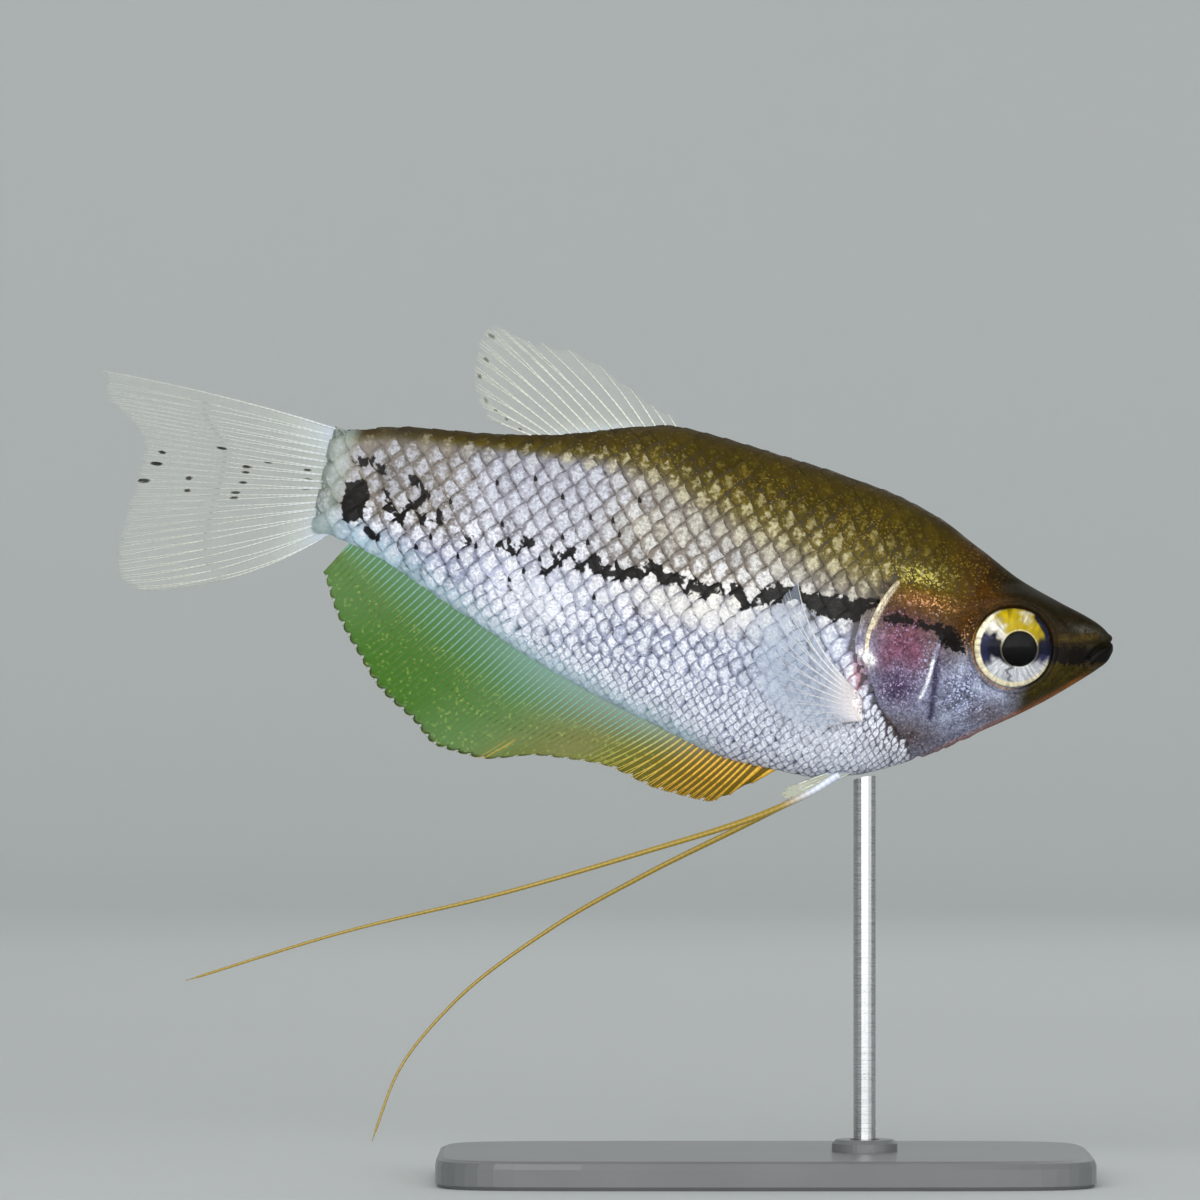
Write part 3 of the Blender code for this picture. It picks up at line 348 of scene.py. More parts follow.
class GouramiColours(bpy.types.PropertyGroup):
    """Colours that a user would change, as sRGB hex values turned linear."""

    ink: tint("Ink", "Black of the stripe and the tail spot", "0A0705")
    pearl: tint("Pearl", "White of a flank scale", "E2E3EC")
    pearl_up: tint("Upper pearl", "Grey white of a scale of the upper flank", "BEC1CC")
    pearl_low: tint("Low pearl", "Blue white of a belly scale", "F0F2FC")
    pearl_back: tint("Back pearl", "Cream grey where the flank meets the back", "B9B08C")
    flank: tint("Flank", "Grey between the white patches of the upper flank", "7C746C")
    low_flank: tint("Low flank", "Blue violet between the spots of the lower flank", "959AB3")
    cream: tint("Cream", "Warm white along the stripe", "F0EADC")
    blue_white: tint("Blue white", "Breast under the pectoral fin", "BAC6D8")
    white: tint("White", "Plain white lobes", "F2F0F2")
    olive: tint("Olive", "Brown olive of the back", "403404")
    olive_dark: tint("Dark olive", "Edge of the back", "2C2002")
    olive_pale: tint("Pale olive", "Olive where it meets the flank", "5C5016")
    back_spot: tint("Back spot", "Pale spot on each scale of the back", "7E7134")
    tail_root: tint("Tail root", "Grey green where the body meets the tail fin", "919D96")
    stem_shade: tint("Stem shade", "Grey of the upper tail stem between its white patches", "5A5756")
    turquoise: tint("Turquoise", "Belly over the anal fin", "A4BFCC")
    head_brown: tint("Head brown", "Side of the head over the stripe", "422804")
    head_dark: tint("Head dark", "Top of the head and snout", "1C1603")
    snout_grey: tint("Snout grey", "Dull highlight on the upper lip", "5A5850")
    jaw_olive: tint("Jaw olive", "Lower jaw and the skin under the eye", "332A06")
    chin: tint("Chin", "Orange edge of the chin and throat", "A05A18")
    lavender: tint("Lavender", "Grey violet under the eye", "604F4F")
    cheek_blue: tint("Cheek blue", "Silver blue of the cheek", "525468")
    cheek_shadow: tint("Cheek shadow", "Dark line ahead of the gill cover", "403D58")
    pale_ridge: tint("Pale ridge", "Bright line down the gill cover's front", "F0F3FC")
    ridge_grey: tint("Ridge grey", "Upper run of the line down the gill cover's front", "8C8DA8")
    snout_gold: tint("Snout gold", "Dull gold line over the snout's stripe", "3C2F0C")
    gill_gold: tint("Gill gold", "Gold over the gill cover", "5E4E0C")
    gill_orange: tint("Gill orange", "Orange brown under the gold", "74451C")
    magenta: tint("Magenta", "Red purple of the gill cover", "71384C")
    purple: tint("Purple", "Blue purple of the lower gill cover", "40304F")
    throat: tint("Throat", "Mauve of the throat", "4F3E3A")
    lobe: tint("Lobe", "Fleshy base of the pectoral fin", "EEE4E4")
    gill_pink: tint("Gill pink", "Pink skin behind the gill cover", "BE858C")
    rim_cream: tint("Rim cream", "Pale rear rim of the gill cover", "D6C8AC")
    # Glitter colours: the colours of painted glints, bright cells that stand for light thrown back by
    # reflecting crystals
    spark_gold: tint("Gold glitter", "Green gold glitter", "E2DC74")
    spark_bronze: tint("Bronze glitter", "Dull gold glitter of the back", "8F7826")
    spark_orange: tint("Orange glitter", "Copper glitter", "E8A668")
    spark_blue: tint("Blue glitter", "Silver blue glitter", "C4CCEC")
    spark_violet: tint("Violet glitter", "Violet glitter", "B08CC0")
    iris_gold: tint("Iris gold", "Gold arc over the pupil", "B49C02")
    iris_silver: tint("Iris silver", "Silver arc under the pupil", "E9EBF0")
    iris_dark: tint("Iris dark", "Blue black sectors ahead of and behind the pupil", "07081A")
    iris_mauve: tint("Iris mauve", "Lighter outer part of the blue black sectors", "26284C")
    iris_rim: tint("Iris rim", "Pale outer rim of the iris", "FBEFCB")
    iris_edge: tint("Iris edge", "Orange gold line behind and under the eye", "A8741C")
    # White is also laid on as a painted highlight at the gill cover's rear edge, and as white painted glints
    fin_clear: tint("Clear fin", "Clear fin skin", "BFC3AE")
    ray_pale: tint("Pale ray", "Pale fin rays", "D6D8CC")
    amber: tint("Amber", "Front of the anal fin", "665206")
    amber_ray: tint("Amber ray", "Rays at the front of the anal fin", "E0AC24")
    fin_olive: tint("Olive fin", "Middle of the anal fin", "5C6006")
    fin_green: tint("Green fin", "Rear of the anal fin", "336806")
    fin_margin: tint("Fin margin", "Dark line along the anal fin's margin", "2A2E08")
    fin_glint: tint("Fin glint", "Pale yellow glints of the anal fin", "A9BF58")
    sea_ray: tint("Sea ray", "Pale turquoise rays at the anal fin's root", "6E9F8A")
    feeler_gold: tint("Feeler gold", "Golden pelvic feelers", "9C8222")
    feeler_root: tint("Feeler root", "Blue white root of the feelers", "D5DCEC")
    floor: tint("Floor", "Pale floor and backdrop", "C3C7C6")


def sizes():
    """The scene's sizes group."""
    return bpy.context.scene.gourami_sizes


def colour(name):
    """One colour of the scene's colours group, as an array."""
    return np.array(getattr(bpy.context.scene.gourami_colours, name), dtype=float)


def plain(name, like):
    """One colour of the colours group at every place of an array."""
    return np.broadcast_to(colour(name), np.shape(like) + (3,))


def smooth_curve(table, x):
    """Cubic through the rows (x, value) of a table, with slopes that never overshoot a row."""
    rows = np.asarray(table, dtype=float)
    knots, values = rows[:, 0], rows[:, 1]
    step = np.diff(knots)
    rise = np.diff(values) / step
    product = rise[:-1] * rise[1:]
    total = np.where(product > 0, rise[:-1] + rise[1:], 1.0)
    inner = np.where(product > 0, 2 * product / total, 0.0)
    slope = np.concatenate([rise[:1], inner, rise[-1:]])
    at = np.clip(np.asarray(x, dtype=float), knots[0], knots[-1])
    i = np.clip(np.searchsorted(knots, at) - 1, 0, len(step) - 1)
    t = (at - knots[i]) / step[i]
    start = values[i] * (1 + 2 * t) * (1 - t) ** 2 + slope[i] * step[i] * t * (1 - t) ** 2
    end = values[i + 1] * t ** 2 * (3 - 2 * t) + slope[i + 1] * step[i] * t ** 2 * (t - 1)
    return start + end


def smooth_path(points, spacing):
    """Even steps along a smooth curve through the points, as an array of points."""
    points = np.asarray(points, dtype=float)
    reach = np.concatenate([[0.0], np.cumsum(np.linalg.norm(np.diff(points, axis=0), axis=1))])
    count = max(2, round(reach[-1] / spacing) + 1)
    at = np.linspace(0, reach[-1], count)
    return np.stack([smooth_curve(np.stack([reach, column], 1), at) for column in points.T], 1)


def fade(x, start, end):
    """Smooth step from 0 at start to 1 at end; start may be the larger of the two."""
    t = np.clip((x - start) / (end - start), 0, 1)
    return t * t * (3 - 2 * t)


def fade_mm(x, start, end):
    """Smooth step between two places given in millimetres."""
    return fade(x, start * MM, end * MM)


def bell(x, middle, reach):
    """Bell about a middle: exp of minus the squared share of the reach."""
    return np.exp(-((x - middle) / reach) ** 2)


def bell_mm(x, middle, reach):
    """Bell whose middle and reach are given in millimetres."""
    return bell(x, middle * MM, reach * MM)


def circle(count):
    """Even turns round a circle, in radians."""
    return np.arange(count) * 2 * math.pi / count


def section(s):
    """Back, belly, half width, widest level and the two keels of the plain body at distance s."""
    back, belly, half, share, *keels = (smooth_curve(table, s) for table in BODY_TABLES)
    return back, belly, half, belly + (back - belly) * share, *keels


def flank_width(s, h):
    """Half width of the plain body at a point of its side view, zero outside the outline."""
    back, belly, half, level, back_keel, belly_keel = section(s)
    above = h >= level
    part = np.clip(np.where(above, (h - level) / (back - level), (level - h) / (level - belly)), 0, 1)
    return half * np.sqrt(1 - part ** 2) ** np.where(above, back_keel, belly_keel)


def belly_height(s, y):
    """Height of the underside at distance s and sideways distance y."""
    _, belly, half, level, _, belly_keel = section(s)
    part = np.clip(np.abs(y) / half, 0, 1) ** (1 / belly_keel)
    return level - (level - belly) * np.sqrt(1 - part ** 2)


def fish_to_world(points):
    """Fish frame (s, h, y) to the world: pitched nose down, then set at the snout's place."""
    s, h, y = np.moveaxis(np.asarray(points, dtype=float), -1, 0)
    x = SNOUT_AHEAD - s * math.cos(PITCH) + h * math.sin(PITCH)
    z = SNOUT_HEIGHT + s * math.sin(PITCH) + h * math.cos(PITCH)
    return np.stack([x, y, z], -1)


def from_segment(s, h, start, end):
    """Share along a segment that lies nearest to each place, and the place's distance to it."""
    run, rise = end[0] - start[0], end[1] - start[1]
    t = np.clip(((s - start[0]) * run + (h - start[1]) * rise) / (run ** 2 + rise ** 2), 0, 1)
    return t, np.hypot(s - start[0] - t * run, h - start[1] - t * rise)


def line_distance(s, h, points):
    """Distance from places to a polyline, the least of the distances to its segments."""
    best = np.full(np.shape(s), np.inf)
    for start, end in zip(points[:-1], points[1:]):
        best = np.minimum(best, from_segment(s, h, start, end)[1])
    return best


def black_depth(s, h):
    """How deep a place lies inside the black marks: the stroke's half thickness there less the distance
    to its middle line, greatest over all strokes, and negative outside."""
    best = np.full(np.shape(s), BLACK_OUTSIDE)
    for stroke in BLACK_STROKES:
        stroke = mm(stroke)
        for start, end in zip(stroke[:-1], stroke[1:]):
            t, distance = from_segment(s, h, start, end)
            best = np.maximum(best, start[2] + (end[2] - start[2]) * t - distance)
    return best


def behind_gill(s, h):
    """Signed distance behind the gill cover's rear line: the distance to the line, negative ahead."""
    line = smooth_path(GILL_LINE, 0.7 * MM)
    edge = np.interp(h, line[::-1, 1], line[::-1, 0])
    return line_distance(s, h, line) * np.sign(s - edge)


def patch_mask(s, h, patch):
    """Bell over an ellipse of the side view: exp of minus the squared reach."""
    middle_s, middle_h, reach_s, reach_h = (v * MM for v in patch[:4])
    return np.exp(-((s - middle_s) / reach_s) ** 2 - ((h - middle_h) / reach_h) ** 2)


def over(base, above, mask):
    """Lay one colour over others by a mask from 0 to 1."""
    return base + (above - base) * mask[..., None]


def layered(base, *layers):
    """Lay named colours one after another over a base, each by its own mask."""
    for name, mask in layers:
        base = over(base, colour(name), mask)
    return base


def with_alpha(paint, alpha):
    """Colours with their opacity as a fourth value."""
    return np.concatenate([paint, alpha[..., None]], -1)


def ground_colour(s, h):
    """Colour of the fish between its scales' pale patches, worked out from its outline and the patches."""
    below_back, over_belly = smooth_curve(BACK_LINE, s) - h, h - smooth_curve(BELLY_LINE, s)
    shade = smooth_curve(BACK_SHADE, s)
    ground = layered(
        plain("flank", s),
        ("low_flank", fade_mm(h, -1, -4)),
        ("low_flank", 0.45 * fade_mm(s, 37, 43) * fade_mm(s, 53, 48)),
        ("turquoise", 0.85 * fade_mm(over_belly, 3, 0.3) * fade_mm(s, 26, 31)),
        ("head_brown", fade_mm(behind_gill(s, h), 0.1, -0.1) * fade_mm(h, -3.5, 0)),
        ("olive_pale", fade(below_back, 1.35 * shade, 0.8 * shade)),
        ("olive", fade(below_back, shade, 0.45 * shade)),
        ("olive_dark", 0.8 * fade_mm(below_back, 1.3, 0)),
        ("tail_root", 0.7 * fade_mm(s, 59.2, 60.6)),
        ("head_brown", fade_mm(s, 15, 10.5) * fade_mm(h, -3.5, -0.5)),
        ("head_dark", fade_mm(s, 14, 8) * fade_mm(below_back, 3.2, 1)),
        ("jaw_olive", fade_mm(s, 7.5, 5.5) * fade_mm(h, -1, -2)),
        ("head_dark", fade_mm(s, 6.5, 3) * fade_mm(h, -1.6, -0.4)))
    for patch in COLOUR_PATCHES:
        ground = layered(ground, (patch[4], patch[5] * patch_mask(s, h, patch)))
    chin = fade_mm(over_belly, 0.75, 0.15) * fade_mm(s, 14.5, 9.5) * fade_mm(s, 1, 2.5)
    ground = layered(ground, ("chin", 0.6 * chin))
    for points, half, name in COLOUR_LINES:
        ground = layered(ground, (name, 0.9 * fade(line_distance(s, h, points), 1.3 * half, 0.4 * half)))
    return ground


def painted_glint_colour(s, h):
    """Colour of the painted glints with their amount as a fourth value, from the glint patches."""
    total = np.zeros(np.shape(s) + (3,))
    weight, amount = np.zeros(np.shape(s)), np.zeros(np.shape(s))
    for patch in PAINTED_GLINT_PATCHES:
        mask = patch_mask(s, h, patch)
        total = total + colour(patch[4]) * mask[..., None]
        weight = weight + mask
        amount = np.maximum(amount, patch[5] * mask)
    return with_alpha(total / np.maximum(weight, 1e-9)[..., None], amount)


def skin_fields(s, h, glitter=1.0):
    """Ground colour, painted glints by a share of their amount, and black marks at places of the side view.
    """
    return {"ground": ground_colour(s, h), "painted_glints": painted_glint_colour(s, h) * (1, 1, 1, glitter),
            "black": black_depth(s, h)}


def grid_faces(rows, columns, wrap=False):
    """Quads between neighbouring rows and columns, with the last column joined to the first by wrap."""
    across = columns if wrap else columns - 1
    row, column = np.meshgrid(np.arange(rows - 1), np.arange(across), indexing="ij")
    after = (column + 1) % columns
    corners = (row * columns + column, row * columns + after,
               (row + 1) * columns + after, (row + 1) * columns + column)
    return np.stack([corner.ravel() for corner in corners], 1)


def capped(faces, rings, around):
    """Faces of a tube of rings, with one face over each end turned as its neighbours are."""
    start = list(range(around))
    end = [(rings - 1) * around + i for i in start]
    turn = -1 if faces[0, 1] == 1 else 1
    return faces.tolist() + [start[::turn], end[::-turn]]


def outward(points, faces):
    """Faces turned to point outwards: all are flipped if the volume that they enclose is negative."""
    volume = 0.0
    for corner in range(2, faces.shape[1]):
        a, b, c = (points[faces[:, i]] for i in (0, corner - 1, corner))
        volume += np.einsum("ij,ij->i", a, np.cross(b, c)).sum()
    return faces if volume > 0 else faces[:, ::-1]


def new_piece(name, points, faces, material, fields=None, bake_map=None, crease=None):
    """Mesh object of closed shells from world points and faces, with point fields and a bake map.

    A field of one value a point is kept as a number, and one of three or four as a colour. The bake
    map has one pair for each corner of each face, in the faces' order.
    """
    mesh = bpy.data.meshes.new(name)
    mesh.from_pydata(points.tolist(), [], [list(face) for face in faces])
    for field, values in (fields or {}).items():
        values = np.asarray(values, dtype=np.float32)
        if values.ndim == 1:
            mesh.attributes.new(field, "FLOAT", "POINT").data.foreach_set("value", values)
        else:
            if values.shape[1] == 3:
                values = np.column_stack([values, np.ones(len(values), np.float32)])
            kept = mesh.attributes.new(field, "FLOAT_COLOR", "POINT")
            kept.data.foreach_set("color", np.ascontiguousarray(values).ravel())
    if bake_map is not None:
        layer = mesh.uv_layers.new(name="OFBake")
        layer.data.foreach_set("uv", np.asarray(bake_map, dtype=np.float32).ravel())
    mesh.shade_smooth()
    if crease:
        mesh.set_sharp_from_angle(angle=math.radians(crease))
    mesh.materials.append(bpy.data.materials[material])
    triangles = sum(len(face) - 2 for face in faces)
    if triangles > MOST_TRIANGLES:
        raise RuntimeError(f"{name} has {triangles} triangles")
    piece = bpy.data.objects.new(name, mesh)
    bpy.context.scene.collection.objects.link(piece)
    return piece


def closed_piece(name, grid, material, fields=None):
    """Piece from rings of points in the fish's frame: every ring closed, and one face over each end."""
    rings, around = grid.shape[:2]
    points = fish_to_world(grid.reshape(-1, 3))
    faces = outward(points, grid_faces(rings, around, wrap=True))
    return new_piece(name, points, capped(faces, rings, around), material, fields)


def place(piece, slot, *nodes):
    """Set a finished piece on the model: it rides on the root and stands for nodes, whose solids it hides.
    Its slot is not used.
    """
    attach(piece, "root")
    if nodes:
        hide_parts(*nodes)


def node(tree, kind, inputs=None, **settings):
    """Add one node with its settings; an input is a value or another node's output."""
    made = tree.nodes.new(kind)
    for name, value in settings.items():
        setattr(made, name, value)
    for socket, value in (inputs or {}).items():
        if isinstance(value, bpy.types.NodeSocket):
            tree.links.new(value, made.inputs[socket])
        else:
            made.inputs[socket].default_value = value
    return made


def new_material(name, **values):
    """Material with one Principled shader; values set its sockets, named with underscores. Returns the
    node tree."""
    material = bpy.data.materials.new(name)
    material.use_nodes = True
    tree = material.node_tree
    for socket, value in values.items():
        tree.nodes["Principled BSDF"].inputs[socket.replace("_", " ")].default_value = value
    return tree


def object_place(tree):
    """Output that gives a place in its object's own coordinates."""
    return node(tree, "ShaderNodeTexCoord").outputs["Object"]


def connect(tree, **outputs):
    """Link outputs to the shader's sockets, named with underscores."""
    for socket, output in outputs.items():
        tree.links.new(output, tree.nodes["Principled BSDF"].inputs[socket.replace("_", " ")])


def attribute(tree, name, output="Fac"):
    """Output of a field of the mesh."""
    return node(tree, "ShaderNodeAttribute", attribute_name=name).outputs[output]


def noise(tree, vector, across, detail, roughness=0.5):
    """Noise whose clouds are so far across."""
    return node(tree, "ShaderNodeTexNoise", {"Vector": vector, "Scale": 1 / across, "Detail": detail,
                                             "Roughness": roughness}).outputs["Fac"]


def cell_values(tree, vector, apart):
    """Three random values of cells that are so far apart."""
    cells = node(tree, "ShaderNodeTexVoronoi", {"Vector": vector, "Scale": 1 / apart})
    return node(tree, "ShaderNodeSeparateColor", {"Color": cells.outputs["Color"]}).outputs


def ranged(tree, value, start, end, low=0.0, high=1.0):
    """Value moved from the range start to end onto low to high, and held there."""
    return node(tree, "ShaderNodeMapRange", {0: value, 1: start, 2: end, 3: low, 4: high}).outputs[0]


def maths(tree, operation, first, second=0.0, **settings):
    """One sum of two values."""
    return node(tree, "ShaderNodeMath", {0: first, 1: second}, operation=operation, **settings).outputs[0]


def mix(tree, share, below, above, blend="MIX"):
    """One colour over another by a share."""
    return node(tree, "ShaderNodeMix", {FACTOR: share, BELOW: below, ABOVE: above}, data_type="RGBA",
                blend_type=blend).outputs[MIXED]


def times(tree, tint_below, value):
    """Colour made lighter or darker by a value."""
    return mix(tree, 1.0, tint_below, value, "MULTIPLY")


def inked(tree, share, below):
    """Black pigment over a colour."""
    return mix(tree, share, below, (*colour("ink"), 1))


def bump(tree, height, strength, distance):
    """Normal of a surface with fine relief."""
    return node(tree, "ShaderNodeBump", {"Height": height, "Strength": strength,
                                         "Distance": distance}).outputs[0]


def add_painted_glints(tree, place_in, below, apart=0.12 * MM):
    """Painted glints over a colour: cells so far apart, of which the patch's share are painted in the glint
    colour as light thrown back by reflecting crystals. Returns the colour with its painted glints and how
    much each cell shines."""
    chance = maths(tree, "SUBTRACT", attribute(tree, "painted_glints", "Alpha"), cell_values(tree, place_in, apart)[0])
    shine = ranged(tree, chance, 0.0, 0.3, 0.0, 0.95)
    return mix(tree, shine, below, attribute(tree, "painted_glints", "Color")), shine


# Living skin: thin mucus over pigment cells, so a soft clear shine over mottled colour
def skin_material():
    tree = new_material("wet_fish_skin", Roughness=0.55, Coat_Weight=0.04, Coat_Roughness=0.12,
                        Specular_IOR_Level=0.07, Subsurface_Weight=0.06, Subsurface_Scale=0.6 * MM,
                        Subsurface_Radius=(1.0, 0.5, 0.3))
    place_in = object_place(tree)
    # Mottling of pigment cells, in groups about 0.7 mm across
    mottle = noise(tree, place_in, 0.7 * MM, 6.0, 0.7)
    skin = times(tree, attribute(tree, "ground", "Color"), ranged(tree, mottle, 0.32, 0.68, 0.55, 1.4))
    # Single pigment cells, about 0.17 mm across
    cells = noise(tree, place_in, 0.17 * MM, 2.0)
    skin = times(tree, skin, ranged(tree, cells, 0.35, 0.65, 0.6, 1.35))
    # Painted glints of single cells, where the glint patches lie
    skin, _ = add_painted_glints(tree, place_in, skin)
    # Black marks whose edges wander in bends of 0.3 mm, by up to 0.45 mm inwards and 0.32 mm outwards
    wander = ranged(tree, noise(tree, place_in, 0.3 * MM, 4.0), 0.25, 0.75, -0.45 * MM, 0.32 * MM)
    depth = maths(tree, "ADD", attribute(tree, "black"), wander)
    ink = ranged(tree, depth, -0.08 * MM, 0.1 * MM, 0.0, 0.97)
    connect(tree, Base_Color=inked(tree, ink, skin), Normal=bump(tree, mottle, 0.35, 0.05 * MM))


# Scale: a clear bony plate over silver guanine, so a bright patch with a satin, faintly coloured shine
def scale_material():
    tree = new_material("pearly_scale", Metallic=0.1, Coat_Weight=0.04, Coat_Roughness=0.12,
                        Specular_IOR_Level=0.1)
    place_in = object_place(tree)
    strength = attribute(tree, "pearl", "Alpha")
    # Grain of the silver, about 0.36 mm across, which frays the edge of each scale's patch
    grain = noise(tree, place_in, 0.36 * MM, 4.0)
    patch = maths(tree, "ADD", attribute(tree, "core"), ranged(tree, grain, 0.3, 0.7, -1.0, 1.0))
    covered = maths(tree, "MULTIPLY", ranged(tree, patch, -0.5, 0.6), strength)
    tone = ranged(tree, attribute(tree, "tone"), 0.0, 1.0, 0.8, 1.2)
    scale = times(tree, attribute(tree, "ground", "Color"), tone)
    # Dark pigment in the pockets between neighbouring patches, with painted shade under the edges of the
    # scales over them
    pocket_pigment_and_shade = maths(tree, "MULTIPLY", ranged(tree, patch, -0.8, -2.5, 0.0, 0.9), strength)
    scale = mix(tree, pocket_pigment_and_shade, scale, (*linear("3A352F"), 1))
    # Silver platelets 0.15 mm across, each at its own brightness
    facet = cell_values(tree, place_in, 0.15 * MM)
    silver = times(tree, attribute(tree, "pearl", "Color"), ranged(tree, facet[1], 0.0, 1.0, 0.66, 1.14))
    # Painted glints of single cells over the patches and the ground between them
    scale, _ = add_painted_glints(tree, place_in, mix(tree, covered, scale, silver))
    # Black marks follow the scales: a pale patch bites into a mark's edge
    bite = ranged(tree, patch, -1.0, 1.2, 0.22 * MM, -0.2 * MM)
    depth = maths(tree, "ADD", bite, attribute(tree, "black"))
    ink = ranged(tree, depth, -0.05 * MM, 0.07 * MM, 0.0, 0.97)
    connect(tree, Base_Color=inked(tree, ink, scale), Roughness=ranged(tree, facet[0], 0.0, 1.0, 0.3, 0.55),
            Normal=bump(tree, grain, 0.5, 0.05 * MM))


# Fin skin: two layers of clear skin a hair apart, so a thin film that is densest at its root
def membrane_material():
    tree = new_material("clear_fin_skin", Roughness=0.34, IOR=1.38)
    place_in = object_place(tree)
    # Clouds 0.6 mm across, and painted glints of single cells 0.17 mm apart
    cloud = ranged(tree, noise(tree, place_in, 0.6 * MM, 3.0), 0.3, 0.7, -0.03, 0.03)
    dense = maths(tree, "ADD", attribute(tree, "ground", "Alpha"), cloud)
    film, shine = add_painted_glints(tree, place_in, attribute(tree, "ground", "Color"), 0.17 * MM)
    ink = ranged(tree, attribute(tree, "black"), 0.2, 0.8)
    seen = maths(tree, "MAXIMUM", maths(tree, "MAXIMUM", dense, shine), ink, use_clamp=True)
    connect(tree, Base_Color=inked(tree, ink, film), Alpha=seen)


# Fin ray: a stack of short bony joints under clear skin, so a pale rod with fine cross bands
def ray_material():
    tree = new_material("bony_fin_ray", Roughness=0.3, Coat_Weight=0.3, Coat_Roughness=0.1)
    # Joints 0.45 mm long
    wave = maths(tree, "SINE", maths(tree, "MULTIPLY", attribute(tree, "along"), 2 * math.pi / (0.45 * MM)))
    bone = times(tree, attribute(tree, "ground", "Color"), ranged(tree, wave, -1.0, 0.0, 0.84, 1.0))
    connect(tree, Base_Color=bone, Alpha=attribute(tree, "ground", "Alpha"),
            Normal=bump(tree, wave, 0.2, 0.01 * MM))


# Iris: silver and gold reflecting cells in radial streaks under the clear cornea
def iris_material():
    tree = new_material("silver_iris", Roughness=0.4, Metallic=0.2, Specular_IOR_Level=0.08)
    # The polar field runs round the iris on a circle of radius 2, so a streak spans about 5 degrees
    streak = noise(tree, attribute(tree, "polar", "Vector"), 1 / 5.5, 3.0)
    silver = times(tree, attribute(tree, "ground", "Color"), ranged(tree, streak, 0.3, 0.7, 0.45, 1.15))
    connect(tree, Base_Color=silver, Normal=bump(tree, silver, 0.6, 0.06 * MM))


# Cornea: clear wet tissue, so a sharp clean reflection and little colour
def cornea_material():
    new_material("clear_cornea", Roughness=0.02, IOR=1.1, Transmission_Weight=1.0, Base_Color=(1, 1, 1, 1))


# Base: mild steel with stoved enamel, so a satin skin with a faint orange peel of about 0.8 mm
def base_material():
    tree = new_material("stoved_enamel", Roughness=0.38, Coat_Weight=0.25)
    place_in = object_place(tree)
    tone = mix(tree, noise(tree, place_in, 9 * MM, 5.0), (*linear("5B5D5E"), 1), (*linear("6D6F6F"), 1))
    connect(tree, Base_Color=tone, Normal=bump(tree, noise(tree, place_in, 0.8 * MM, 2.0), 0.25, 0.04 * MM))


# Rod: stainless steel brushed round, so fine rings about 0.12 mm apart
def rod_material():
    tree = new_material("brushed_steel", Metallic=1.0)
    place_in = object_place(tree)
    stretch = node(tree, "ShaderNodeMapping", {"Vector": place_in, "Scale": (0.05, 0.05, 1.0)})
    brush = noise(tree, stretch.outputs[0], 0.12 * MM, 3.0)
    tone = mix(tree, brush, (*linear("A9ABAD"), 1), (*linear("D2D3D4"), 1))
    connect(tree, Base_Color=tone, Roughness=ranged(tree, brush, 0.3, 0.7, 0.2, 0.4),
            Normal=bump(tree, brush, 0.15, 0.02 * MM))


# Floor: matt painted board
def floor_material():
    tree = new_material("matt_board", Roughness=0.85)
    place_in = object_place(tree)
    low, high = colour("floor") * 0.97, colour("floor") * 1.03
    connect(tree, Base_Color=mix(tree, noise(tree, place_in, 0.25, 2.0), (*low, 1), (*high, 1)))


def stations():
    """Ring places along the skin: close over the rounded snout and the head, wider on the trunk."""
    nose = NOSE_ROUND * (1 - np.cos(np.linspace(0.07, math.pi / 2, END_RINGS)))
    head = np.linspace(NOSE_ROUND, HEAD_END, round((HEAD_END - NOSE_ROUND) / HEAD_SPACING))
    trunk = np.linspace(HEAD_END, BODY_LENGTH, round((BODY_LENGTH - HEAD_END) / TRUNK_SPACING))
    tail = BODY_LENGTH + TAIL_ROUND * np.sin(np.linspace(0, math.pi / 2, END_RINGS)) * 0.995
    return np.concatenate([nose, head[1:], trunk[1:], tail[1:]])


